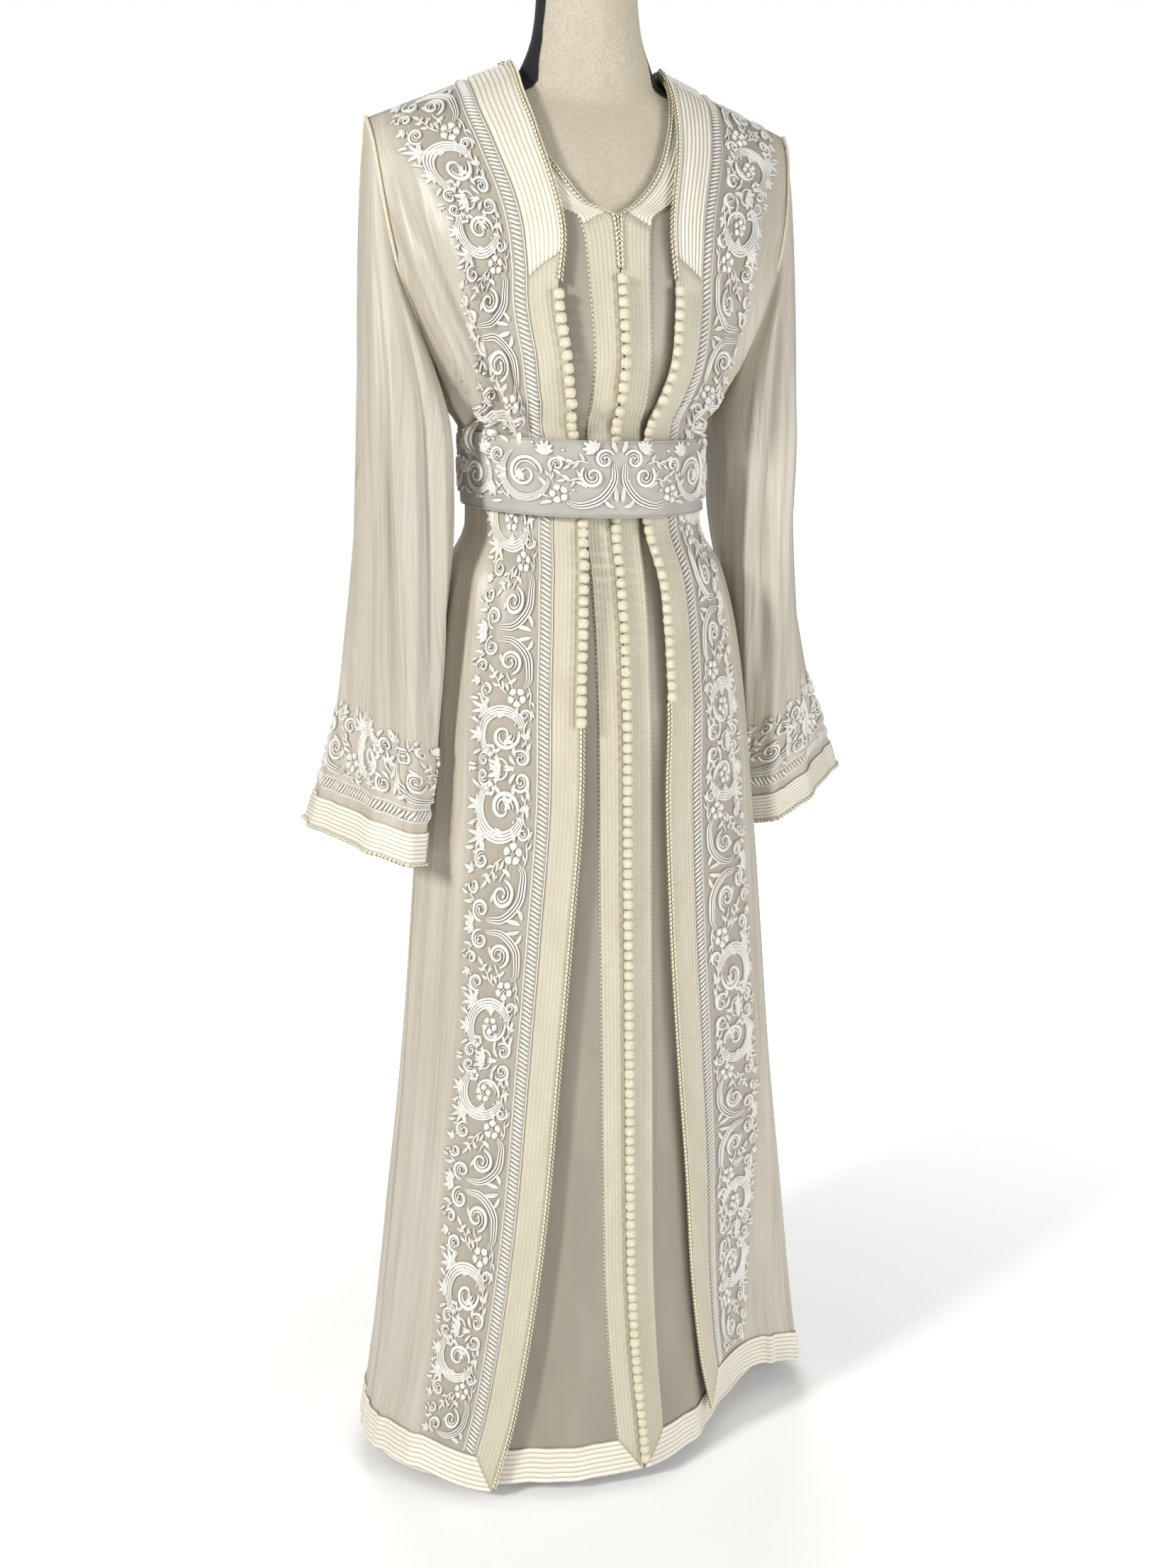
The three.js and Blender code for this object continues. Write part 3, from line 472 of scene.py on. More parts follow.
def bump(at, deg, half):
    """A bump of height 1 at deg that falls to 0 at half degrees either side"""
    away = np.abs(within_half_turn(at - deg)) / half
    return np.where(away < 1, np.cos(np.minimum(away, 1) * np.pi / 2) ** 2, 0)


def crease_shift(creases, deg, level):
    """How far the listed creases move the cloth outwards"""
    shift = np.zeros(np.broadcast(deg, level).shape)
    for top_deg, low_deg, top, low, half, rise in each(creases):
        down = np.clip((top - level) / (top - low), 0, 1)
        middle = top_deg + (low_deg - top_deg) * down
        shift = shift + rise * bump(deg, middle, half) * np.sin(down * np.pi) ** CREASE_FADE
    return shift


def share_of(level):
    return np.clip((level - ARMPIT_Z) / UPPER_SPAN, 0, 1)


def lean_at(z):
    return read(LEAN, "z", "x", z)


def side_at(layer, level):
    low = read(layer["levels"], "z", "side", np.minimum(level, ARMPIT_Z))
    wide = read(UPPER, "share", "side", share_of(level))
    return low + (RIDGE_HALF_WIDTH + layer["up"] - low) * wide


def height_of(level):
    """Height at which a level crosses the middle of the body"""
    up = ARMPIT_Z + UPPER_SPAN * read(UPPER, "share", "rise", share_of(level))
    return np.where(level > ARMPIT_Z, up, level)


def level_at(z):
    up = ARMPIT_Z + UPPER_SPAN * read(UPPER, "rise", "share", share_of(z))
    return np.where(z > ARMPIT_Z, up, z)


def body_point(layer, deg, level):
    """A layer's outer face: deg turns from the centre front to the wearer's left, and level is a
    height up to the armpit that runs on above it to the shoulder ridge"""
    deg, level = np.broadcast_arrays(np.asarray(deg, float), np.asarray(level, float))
    across = np.sin(np.radians(deg))
    ahead = np.cos(np.radians(deg))
    front = ahead > 0
    side = side_at(layer, level)

    share = share_of(level)
    rise = read(UPPER, "share", "rise", share)
    front_depth = layer["bust"][0] * read(UPPER, "share", "front", share)
    back_depth = layer["bust"][1] * read(UPPER, "share", "back", share)
    x = side * across
    ridge = NECK_SIDE_Z + layer["up"] - SHOULDER_FALL * np.maximum(0, np.abs(x) - NECK_SIDE_X)
    z = ARMPIT_Z + (ridge - ARMPIT_Z) * rise
    y = RIDGE_Y * rise - np.where(front, front_depth, back_depth) * ahead
    upper = np.stack([x + lean_at(z), y, z], -1)

    levels = layer["levels"]
    depth = np.where(front, read(levels, "z", "front", level), read(levels, "z", "back", level))
    y = -depth * ahead
    lift = 0
    if layer is not FORM:
        lift = read(HEM_LIFT, "deg", layer["lifts"], within_half_turn(deg))
        low = 1 - np.clip((level - layer["hem"]) / (HOLLOW["top"] - layer["hem"]), 0, 1)
        inwards = HOLLOW["depth"] * np.sin(np.radians(2 * deg)) ** 2 * low ** HOLLOW["power"]
        y = y + np.where((deg > 0) & (deg < HOLLOW["to"]), inwards, 0)
    if layer is OVER:
        drop = 1 - np.clip((level - layer["hem"]) / (BELT["low"] - layer["hem"]), 0, 1)
        rise = sum(height * bump(deg, at, half) for at, half, height in each(SKIRT_FOLDS))
        swell = rise * np.minimum(1, FOLDS_AT_BELT + drop) * np.minimum(1, FOLDS_START * drop)
        grow = 1 + swell / np.maximum(np.hypot(x, y), 0.01)
        x = x * grow
        y = y * grow
    near = 1 - np.clip((level - layer["hem"]) / HEM_LIFT_FADES_BY, 0, 1)
    lower = np.stack([x + lean_at(level), y, level + lift * smooth(near)], -1)
    return np.where((level > ARMPIT_Z)[..., None], upper, lower)


def unit(vectors):
    return vectors / np.maximum(np.linalg.norm(vectors, axis=-1, keepdims=True), 1e-12)


# Steps that a face's slope is measured over, in degrees and in metres
TURN_STEP = 0.05
LEVEL_STEP = 5e-5


def body_normal(layer, deg, level):
    """Outward normals of a layer's outer face"""
    east = body_point(layer, deg + TURN_STEP, level) - body_point(layer, deg - TURN_STEP, level)
    north = body_point(layer, deg, level + LEVEL_STEP) - body_point(layer, deg, level - LEVEL_STEP)
    return unit(np.cross(east, north))


def cloth_point(layer, deg, level):
    """The same face with the small creases on it"""
    deg, level = np.broadcast_arrays(np.asarray(deg, float), np.asarray(level, float))
    at = np.clip(level, layer["hem"] + LEVEL_STEP, NECK_SIDE_Z - LEVEL_STEP)
    shift = crease_shift(layer["creases"], deg, level)
    if layer is UNDER:
        line = np.abs(level - PRESSED["z"]) / PRESSED["half"]
        inside = (deg > PRESSED["low_deg"]) & (deg < PRESSED["high_deg"])
        shift = shift - np.where(inside, PRESSED["deep"] * np.maximum(0, 1 - line), 0)
    return body_point(layer, deg, level) + body_normal(layer, deg, at) * shift[..., None]


def armhole_deg(level):
    return read(ARMHOLE, "share", "deg", share_of(level))


def side_word(side):
    return "right" if side < 0 else "left"


def front_edge_deg(layer, side, level, beyond=0.0):
    """Angle of a front's open edge; beyond moves it on, past the edge"""
    edge = read(layer["edge"], "z", side_word(side), height_of(level))
    return np.degrees(np.arcsin((edge - beyond) / side_at(layer, level)))


def outer_edge_deg(layer, level):
    return armhole_deg(level) - np.degrees(SEAM / 2 / side_at(layer, level))


def sleeve_section(side, z, phi):
    """One ring of a sleeve below the armpit; phi is 0 outside and a quarter turn at the front"""
    table = SLEEVES[side]
    low = np.clip((SLEEVE_TOP - z) / SLEEVE_FOLDS_OVER, 0, 1)
    rise = sum(height * bump(np.degrees(phi), deg, half) for deg, half, height in each(SLEEVE_FOLDS)) * low
    turn = np.radians(read(table, "z", "turn", z))

    def rounded(v):
        return np.sign(v) * np.abs(v) ** (2 / SLEEVE_CORNER)

    out = (read(table, "z", "out", z) + rise) * rounded(np.cos(phi))
    front = (read(table, "z", "front", z) + rise) * rounded(np.sin(phi))
    tilt = CUFF_TILT[side] * smooth((CUFF_TILT_FROM - z) / CUFF_TILT_OVER)
    x = side * (read(table, "z", "x", z) + out * np.cos(turn) + front * np.sin(turn))
    y = read(table, "z", "y", z) + out * np.sin(turn) - front * np.cos(turn)
    up = z + tilt * (np.cos(phi) * CUFF_TILT_OUT - np.sin(phi) * CUFF_TILT_FRONT)
    return np.stack([x, y, up], -1)


def armhole_place(side, phi):
    """Where the sleeve leaves the armhole"""
    facing = phi <= np.pi
    down = np.where(facing, phi / np.pi, (2 * np.pi - phi) / np.pi)
    shares = UPPER["share"]
    share = np.interp((1 - down) * (len(shares) - 1), np.arange(len(shares)), shares)
    level = ARMPIT_Z + UPPER_SPAN * share
    deg = armhole_deg(level)
    place = body_point(OVER, side * np.where(facing, deg, 180 - deg), level)
    place[..., 0] += side * 4 * SEAM
    place[..., 2] += UNDERARM["lift"] * smooth((down - UNDERARM["from"]) / UNDERARM["over"])
    return place


def sleeve_point(side, phi, fall):
    """fall runs from -1 at the armhole to 0 at the armpit and 1 at the cuff's edge"""
    phi, fall = np.broadcast_arrays(np.asarray(phi, float), np.asarray(fall, float))
    head = np.clip(fall + 1, 0, 1)[..., None]
    swing = 1 - np.abs(1 - phi / np.pi)
    start = armhole_place(side, phi)
    end = sleeve_section(side, np.full(phi.shape, SLEEVE_TOP), phi)
    zero = np.zeros(phi.shape)
    outwards = side * (LEAVE_OUT[0] + LEAVE_OUT[1] * swing)
    leave = np.stack([outwards, zero, LEAVE_UP[0] + LEAVE_UP[1] * swing], -1)
    arrive = np.stack([zero, zero, ARRIVE_UP[0] + ARRIVE_UP[1] * swing], -1)
    top = (
        start * (2 * head**3 - 3 * head**2 + 1)
        + leave * (head**3 - 2 * head**2 + head)
        + end * (3 * head**2 - 2 * head**3)
        + arrive * (head**3 - head**2)
    )
    z = SLEEVE_TOP + (SLEEVE_END - SLEEVE_TOP) * np.clip(fall, 0, 1)
    return np.where((fall < 0)[..., None], top, sleeve_section(side, z, phi))


def creased_sleeve(side, phi, fall):
    """The sleeve's outer face on a grid, rows down and columns round, with its creases"""
    points = sleeve_point(side, phi, fall)
    normals = grid_normals(points, around=True)
    shift = crease_shift(SLEEVE_CREASES, np.degrees(phi) + np.zeros(fall.shape), points[..., 2])
    fade = smooth((fall + 1) / SLEEVE_CREASES_OVER)
    return points + normals * (shift * fade)[..., None]


def belt_point(deg, share):
    """The belt's outer face; share runs from its lower to its upper edge"""
    across = np.sin(np.radians(deg))
    ahead = np.cos(np.radians(deg))
    z = BELT["low"] + (BELT["high"] - BELT["low"]) * share
    depth = np.where(ahead > 0, BELT["front"], BELT["back"])
    up = z + BELT_TILT["back"] * (1 - ahead) / 2 - BELT_TILT["right"] * across
    sideways = BELT["side"] * across + lean_at(z)
    return np.stack(np.broadcast_arrays(sideways, -depth * ahead, up), -1)


def grid_normals(points, around=False, about=None):
    """Outward normals of a grid of points; around joins its last column to its first, and
    about is a point that the normals turn away from"""
    down = np.gradient(points, axis=0)
    if around:
        beside = np.roll(points, -1, 1) - np.roll(points, 1, 1)
    else:
        beside = np.gradient(points, axis=1)
    normals = unit(np.cross(down, beside))
    middle = points.mean(1, keepdims=True) if around else np.zeros(3)
    if about is not None:
        middle = about
    away = (points - middle) * (1, 1, 0)
    return normals * np.sign((normals * away).sum())


# Meshes

def new_piece(name, points, faces, flat, material, slot, stands_for=()):
    """A mesh piece that rides on the body. flat holds each point's place on the cloth, in metres"""
    mesh = bpy.data.meshes.new(name)
    mesh.vertices.add(len(points))
    mesh.vertices.foreach_set("co", np.asarray(points, np.float32).ravel())
    mesh.loops.add(faces.size)
    mesh.loops.foreach_set("vertex_index", faces.ravel().astype(np.int32))
    mesh.polygons.add(len(faces))
    mesh.polygons.foreach_set("loop_start", np.arange(0, faces.size, 4, dtype=np.int32))
    mesh.update(calc_edges=True)
    mesh.shade_smooth()
    layer = mesh.uv_layers.new(name="Cloth")
    layer.uv.foreach_set("vector", np.asarray(flat, np.float32)[faces.ravel()].ravel())
    mesh.validate()
    mesh.materials.append(material)
    piece = bpy.data.objects.new(name, mesh)
    scene.collection.objects.link(piece)
    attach(piece, "root")
    if stands_for:
        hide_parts(*stands_for)
    return piece


def grid_faces(count, across, around=False, first=0):
    """Quads of a grid of points, count rows by across columns"""
    index = np.arange(count * across).reshape(count, across)
    if around:
        index = np.concatenate([index, index[:, :1]], 1)
    quads = np.stack([index[:-1, :-1], index[:-1, 1:], index[1:, 1:], index[1:, :-1]], -1)
    return quads.reshape(-1, 4) + first


def thin_wall(outer, inner, flat, around=False):
    """Points, faces and flat places of a closed thin wall between two grids"""
    count, across = outer.shape[:2]
    size = count * across
    faces = [grid_faces(count, across, around), grid_faces(count, across, around, size)[:, ::-1]]
    index = np.arange(size).reshape(count, across)
    rims = [index[0], index[-1][::-1]]
    if not around:
        rims += [index[:, -1], index[:, 0][::-1]]
    for rim in rims:
        ends = np.roll(rim, -1) if around else rim[1:]
        starts = rim if around else rim[:-1]
        faces.append(np.stack([ends, starts, starts + size, ends + size], -1))
    points = np.concatenate([outer.reshape(-1, 3), inner.reshape(-1, 3)])
    return points, np.concatenate(faces), np.tile(flat.reshape(-1, 2), (2, 1))


def lengths(points, axis):
    """Distance run along a grid's rows or columns, in metres"""
    steps = np.linalg.norm(np.diff(points, axis=axis), axis=-1)
    zero = np.zeros_like(np.take(steps, [0], axis))
    return np.cumsum(np.concatenate([zero, steps], axis), axis)


class Patch:
    """A face of cloth measured off in metres: along it, and across it from its edge"""

    def __init__(self, points, edge=0, step=0.002, about=None):
        across = lengths(points, 1)
        across = across - across[:, edge : edge + 1]
        self.across = np.arange(across[:, 0].max(), across[:, -1].max(), step)
        self.points = np.stack(
            [
                np.stack([np.interp(self.across, row, line[:, k]) for k in range(3)], -1)
                for row, line in zip(across, points)
            ]
        )
        self.widths = across[:, -1]
        self.along = lengths(points, 0)[:, edge]
        turned = np.swapaxes(self.points, 0, 1)
        self.normals = np.swapaxes(grid_normals(turned, False, about), 0, 1)
        self.length = self.along[-1]

    def at(self, along, across, lift=0.0):
        """Points at places on the cloth, lifted off it"""
        i = np.interp(along, self.along, np.arange(len(self.along)))
        first, second, last = self.across[[0, 1, -1]]
        j = (np.clip(across, first, last) - first) / (second - first)
        i0 = np.minimum(i.astype(int), len(self.along) - 2)
        j0 = np.minimum(j.astype(int), len(self.across) - 2)
        a = (i - i0)[..., None]
        b = (j - j0)[..., None]

        def mixed(grid):
            low = grid[i0, j0] * (1 - b) + grid[i0, j0 + 1] * b
            high = grid[i0 + 1, j0] * (1 - b) + grid[i0 + 1, j0 + 1] * b
            return low * (1 - a) + high * a

        return mixed(self.points) + unit(mixed(self.normals)) * np.asarray(lift)[..., None]


# Stitches: everything that is sewn on as raised thread is a stroke along a line

SECTION = np.array([-1, -0.62, 0, 0.62, 1])
SECTION_RISE = np.array([-0.2, 0.72, 1, 0.72, -0.2])
VEINED = np.array([-1, -0.6, -0.14, 0, 0.14, 0.6, 1])
VEINED_RISE = np.array([-0.2, 0.85, 0.9, 0.4, 0.9, 0.85, -0.2])
# How many times its drawn rise a stroke stands up, and the share of its width that its ends keep
RELIEF = 1.65
THINNEST = 0.02


def stroke(line, wide, rise, peak, blunt, veined=False):
    """A raised stroke along a line, in millimetres, that swells at peak and thins to its ends"""
    line = np.asarray(line, float)
    t = np.linspace(0, 1, len(line))
    swell = np.sin(np.pi * t ** (math.log(0.5) / math.log(peak))) ** blunt
    swell = np.clip(swell, THINNEST, 1)
    return {"line": line, "width": wide * swell, "rise": RELIEF * rise * swell**0.5, "veined": veined}


def stroke_mesh(strokes):
    """Flat places, heights, faces and thread places of many strokes; threads count every stroke
    as 4 mm wide, so that its rim is at 2 mm"""
    flats, rises, faces, threads = [], [], [], []
    first = 0
    for item in strokes:
        line = item["line"]
        section, profile = (VEINED, VEINED_RISE) if item["veined"] else (SECTION, SECTION_RISE)
        ahead = np.gradient(line, axis=0)
        ahead /= np.maximum(np.linalg.norm(ahead, axis=1, keepdims=True), 1e-9)
        sideways = np.stack([-ahead[:, 1], ahead[:, 0]], -1)
        offset = item["width"][:, None] * section / 2
        flats.append((line[:, None] + sideways[:, None] * offset[..., None]).reshape(-1, 2))
        rises.append((item["rise"][:, None] * profile).ravel())
        run = np.concatenate([[0], np.cumsum(np.linalg.norm(np.diff(line, axis=0), axis=1))])
        even_width = np.broadcast_to(2 * section, offset.shape)
        threads.append(np.stack([even_width, np.repeat(run[:, None], len(section), 1)], -1).reshape(-1, 2))
        faces.append(grid_faces(len(line), len(section), False, first))
        first += len(line) * len(section)
    return np.concatenate(flats), np.concatenate(rises), np.concatenate(faces), np.concatenate(threads) / 1000


def joined(parts):
    """Several (points, faces, flat) as one"""
    first = 0
    points, faces, flats = [], [], []
    for part_points, part_faces, part_flat in parts:
        points.append(part_points)
        faces.append(part_faces + first)
        flats.append(part_flat)
        first += len(part_points)
    return np.concatenate(points), np.concatenate(faces), np.concatenate(flats)


def sewn(patch, mesh, place, base=0.0, mirrored=False):
    """A stroke mesh laid on a patch; place turns its millimetres into distances on the cloth"""
    flats, rises, faces, threads = mesh
    along, across = place(flats[:, 0], flats[:, 1])
    points = patch.at(along, across, base + rises / 1000)
    return points, faces[:, ::-1] if mirrored else faces, threads


# Ornament strokes, in millimetres along and out from the border. Headings are in degrees:
# 0 points out and 90 points along.

# Rises of the strokes, how much wider than drawn leaves and main cords are, and stations
FINE_RISE = 1.7
BROAD_RISE = 1.9
CORD_RISE = 2.2
PLUMP = 1.15
FAN_LEAF_WIDTH = 5.8
LEAF_STATIONS = 7
SCROLL_STATIONS = 30
FINE_STATIONS = 18
LINE_STATIONS = 22
SPRAY_STATIONS = 24

def towards(heading):
    return np.array([math.sin(math.radians(heading)), math.cos(math.radians(heading))])


def heading_of(step):
    return math.degrees(math.atan2(step[0], step[1]))


def leaf(along, out, heading, length, wide, bend, rise=FINE_RISE):
    """A veined leaf that bends by bend degrees from its root to its tip"""
    t = np.linspace(0, 1, LEAF_STATIONS)
    turn = np.radians(heading + bend * (t - 0.3))
    steps = np.stack([np.sin(turn), np.cos(turn)], -1) * length / (LEAF_STATIONS - 1)
    line = np.array([along, out]) + np.concatenate([[[0, 0]], np.cumsum(steps[:-1], 0)])
    return stroke(line, wide * PLUMP, rise, peak=0.42, blunt=0.7, veined=True)


def fan(along, out, heading, spread, count, length):
    """Acanthus leaves that open from one root, with curled outer leaves"""
    strokes = []
    for k in range(int(count)):
        side = 2 * k / (count - 1) - 1
        reach = length * (1 - 0.3 * side * side)
        turned = heading + spread / 2 * side
        strokes.append(leaf(along, out, turned, reach, FAN_LEAF_WIDTH, 60 * side, BROAD_RISE))
    return strokes


def spiral(along, out, radius, start, sweep, tight, count):
    """A line that winds from radius in to its share tight, through sweep degrees"""
    t = np.linspace(0, 1, count)
    turn = np.radians(start + sweep * t)
    r = radius * (1 - (1 - tight) * t**1.1)
    return np.stack([along + r * np.sin(turn), out + r * np.cos(turn)], -1)


def beside(line, distance):
    """A line that keeps a distance from another, closing in on it at both ends"""
    ahead = np.gradient(line, axis=0)
    ahead /= np.linalg.norm(ahead, axis=1, keepdims=True)
    t = np.linspace(0, 1, len(line))[:, None]
    return line + np.stack([-ahead[:, 1], ahead[:, 0]], -1) * distance * np.sin(np.pi * t) ** 0.35


def ball(along, out, radius, rise=BROAD_RISE):
    """A knot of thread"""
    line = np.stack([np.linspace(along - radius, along + radius, 5), np.full(5, out)], -1)
    return stroke(line, 2 * radius, rise, peak=0.5, blunt=0.55)


def scroll(along, out, radius, start, sweep, wide, leaves):
    """A C-scroll: a swelling cord that winds into a ball, a finer cord within it, leaves on its back"""
    way = 1 if sweep > 0 else -1
    line = spiral(along, out, radius, start, sweep, 0.2, SCROLL_STATIONS)
    within = radius - wide * 0.95
    inner = spiral(along, out, within, start + 10 * way, sweep * 0.62, 0.4, FINE_STATIONS)
    strokes = [
        stroke(line, wide * PLUMP, CORD_RISE, peak=0.3, blunt=0.5),
        stroke(inner, wide * 0.62, FINE_RISE, peak=0.4, blunt=0.5),
        ball(*line[-1], max(1.6, wide * 0.45), 2.3),
    ]
    for k in range(int(leaves)):
        t = 0.03 + 0.15 * k
        turn = start + sweep * t
        back = radius * (1 - 0.8 * t**1.1) + wide * 0.3
        root = np.array([along, out]) + towards(turn) * back
        length = radius * (0.72 - 0.06 * k)
        strokes.append(leaf(*root, turn + way * 42, length, wide * 0.95, -way * 60))
    return strokes


def crescent(along, out, radius, start, sweep, wide):
    """A broad curved band of four cords side by side"""
    line = spiral(along, out, radius, start, sweep, 0.86, LINE_STATIONS)
    return [
        stroke(beside(line, wide * share), wide * 0.34, BROAD_RISE, peak=0.5, blunt=0.4)
        for share in (-0.42, -0.14, 0.14, 0.42)
    ]


def rose(along, out, radius):
    """Five round petals about a ring of knots"""
    strokes = []
    for k in range(5):
        heading = 72 * k + 20
        root = np.array([along, out]) + towards(heading) * radius * 0.24
        tip = np.array([along, out]) + towards(heading) * radius
        strokes.append(stroke(np.linspace(root, tip, 7), radius * 1.12, 2.0, peak=0.62, blunt=0.45))
        strokes.append(ball(*(root * 0.45 + tip * 0.55), radius * 0.13, 2.5))
    for k in range(4):
        spot = np.array([along, out]) + towards(90 * k) * radius * 0.15
        strokes.append(ball(*spot, radius * 0.12, 2.6))
    return strokes


def through(points, count):
    """A smooth line through a few points"""
    points = np.asarray(points, float)
    run = np.concatenate([[0], np.cumsum(np.linalg.norm(np.diff(points, axis=0), axis=1))])
    t = np.linspace(0, run[-1], count)
    table = {"run": run, "a": points[:, 0], "b": points[:, 1]}
    return np.stack([read(table, "run", "a", t), read(table, "run", "b", t)], -1)


def stem(points, wide):
    return [stroke(through(points, FINE_STATIONS), wide, FINE_RISE, peak=0.4, blunt=0.45)]


def trio(points, wide):
    """Three cords side by side that meet at both ends"""
    line = through(points, LINE_STATIONS)
    return [
        stroke(beside(line, k * wide * 1.05), wide, CORD_RISE - 0.3 * abs(k), peak=0.5, blunt=0.35)
        for k in (-1, 0, 1)
    ]


def spray(points, count, length):
    """A stem with leaves to either side and one at its tip"""
    line = through(points, SPRAY_STATIONS)
    strokes = [stroke(line, 2.6, FINE_RISE, peak=0.35, blunt=0.45)]
    for k in range(count):
        spot = int((SPRAY_STATIONS - 1) * (0.25 + 0.75 * k / count))
        heading = heading_of(line[spot] - line[spot - 1])
        side = 1 if k % 2 else -1
        strokes.append(leaf(*line[spot], heading + 48 * side, length, length * 0.36, -40 * side))
    heading = heading_of(line[-1] - line[-2])
    strokes.append(leaf(*line[-2], heading, length * 1.15, length * 0.4, 20))
    return strokes


def ornament(crescents, scrolls, fans, leaves, roses, trios, sprays, stems, balls):
    """All strokes of one repeat"""
    strokes = []
    for draw, table in ((crescent, crescents), (scroll, scrolls), (fan, fans)):
        for line in each(table):
            strokes += draw(*line)
    strokes += [leaf(*line) for line in each(leaves)]
    for line in each(roses):
        strokes += rose(*line)
    for draw, lines in ((trio, trios), (spray, sprays), (stem, stems)):
        for line in lines:
            strokes += draw(*line)
    strokes += [ball(*line) for line in each(balls)]
    return strokes


# One repeat of the border, as long and wide as this before it is fitted to the cloth
BORDER_LENGTH = 145
BORDER_WIDTH = 78
BORDER = ornament(
    crescents=rows(
        "along out radius start sweep wide",
        (107, 36, 27, 60, -235, 11.5),
    ),
    scrolls=rows(
        "along out radius start sweep wide leaves",
        (30, 31, 14, 95, 470, 5.0, 0),
        (15, 55, 11, 262, 470, 4.4, 0),
        (61, 57, 10, 120, -450, 4.2, 2),
        (137, 58, 9, 190, 430, 3.8, 2),
        (134, 15, 10, 330, -430, 4.2, 0),
        (87, 11, 7.5, 120, 420, 3.6, 0),
        (36, 66, 8, 20, -420, 3.8, 1),
    ),
    fans=rows(
        "along out heading spread count length",
        (84, 56, -25, 120, 5, 24),
        (110, 62, 5, 100, 4, 18),
        (6, 64, -14, 90, 4, 17),
        (140, 38, 10, 130, 4, 17),
        (50, 68, 20, 80, 3, 13),
    ),
    leaves=rows(
        "along out heading length wide bend",
        (3, 6, 12, 20, 5.6, -24),
        (6, 5, 62, 16, 5.2, -70),
        (22, 66, -6, 14, 4.8, 40),
        (46, 22, 40, 14, 5.0, -60),
        (40, 44, 50, 13, 4.8, 50),
        (78, 20, 70, 14, 5.0, -50),
        (100, 6, 80, 15, 4.8, 30),
        (116, 6, 75, 14, 4.8, -30),
        (130, 28, 120, 14, 4.8, 40),
        (126, 62, 30, 14, 4.8, 40),
        (98, 66, -30, 14, 4.6, 30),
        (72, 68, -8, 13, 4.6, 40),
        (143, 22, 20, 14, 4.8, -40),
        (21, 43, 110, 13, 4.6, 40),
        (52, 36, 120, 12, 4.4, -40),
        (24, 20, -20, 11, 4.2, 50),
        (124, 44, -20, 12, 4.4, 40),
        (143, 68, 0, 11, 4.4, 20),
        (84, 34, 40, 12, 4.6, -50),
    ),
    roses=rows("along out radius", (68, 21, 11), (125, 50, 6.5)),
    trios=[
        ([(60, 14), (48, 7), (30, 8), (14, 18), (6, 34), (6, 50)], 3.1),
        ([(77, 30), (86, 40), (84, 52), (76, 62)], 2.0),
    ],
    sprays=[
        ([(64, 32), (58, 40), (50, 44), (42, 50)], 4, 11),
        ([(56, 8), (66, 5), (76, 6), (82, 4)], 2, 9),
        ([(22, 64), (26, 70), (28, 74)], 2, 9),
        ([(92, 8), (102, 12), (114, 10), (124, 8)], 3, 9),
    ],
    stems=[
        ([(145, 30), (140, 31), (135, 37), (134, 48)], 3.2),
        ([(40, 34), (46, 32), (52, 28), (60, 26)], 2.6),
    ],
    balls=rows(
        "along out radius",
        (22, 36, 2.0),
        (54, 66, 2.0),
        (92, 72, 2.0),
        (141, 76, 1.8),
        (46, 38, 1.8),
        (97, 22, 1.8),
        (90, 24, 1.8),
    ),
)

# Half of the belt's ornament, from its centre front round to the side
BELT_ORNAMENT = ornament(
    crescents=rows(
        "along out radius start sweep wide",
        (92, 36, 26, 30, 235, 7),
        (150, 31, 19, 300, -210, 5.5),
    ),
    scrolls=rows(
        "along out radius start sweep wide leaves",
        (15, 52, 10, 290, 450, 4.0, 0),
        (27, 36, 12, 40, 460, 4.4, 0),
        (94, 36, 18, 265, 480, 4.6, 0),
        (62, 46, 8, 140, -420, 3.6, 0),
        (152, 30, 13, 100, -430, 4.2, 0),
        (122, 52, 9, 200, -420, 3.6, 2),
    ),
    fans=rows(
        "along out heading spread count length",
        (24, 59, 40, 120, 6, 16),
        (74, 54, 0, 110, 6, 16),
        (96, 36, 120, 130, 5, 10),
        (138, 52, 20, 110, 5, 15),
        (126, 20, 110, 130, 5, 14),
        (166, 52, 30, 110, 5, 15),
    ),
    leaves=rows(
        "along out heading length wide bend",
        (2.6, 58, 20, 16, 5.2, -30),
        (2.4, 10, 8, 18, 5.2, -16),
        (4, 6, 62, 16, 5.0, -80),
        (32, 24, 60, 14, 4.8, 50),
        (66, 10, 100, 14, 4.6, 30),
        (110, 64, 60, 13, 4.4, 40),
        (118, 8, 100, 14, 4.6, -30),
        (132, 38, 30, 13, 4.4, 40),
        (142, 8, 90, 13, 4.4, 30),
        (160, 10, 70, 14, 4.6, -30),
        (72, 24, 40, 13, 4.6, 40),
    ),
    roses=rows("along out radius", (60, 18, 9.5), (119, 35, 7), (172, 36, 8.5)),
    trios=[([(54, 11), (40, 7), (24, 11), (11, 22), (5, 36), (6, 50)], 2.9)],
    sprays=[
        ([(34, 30), (42, 33), (50, 31), (58, 36)], 4, 10),
        ([(30, 48), (40, 50), (48, 47), (54, 50)], 4, 10),
        ([(66, 30), (68, 34), (68, 38)], 2, 8),
        ([(108, 10), (114, 14), (120, 20)], 2, 9),
    ],
    stems=[
        ([(68, 14), (76, 16), (82, 12)], 2.6),
        ([(112, 26), (118, 24), (126, 16)], 2.6),
    ],
    balls=rows(
        "along out radius",
        (46, 22, 1.8),
        (56, 60, 1.8),
        (86, 66, 1.8),
        (128, 66, 1.8),
        (9, 32, 1.6),
    ),
)


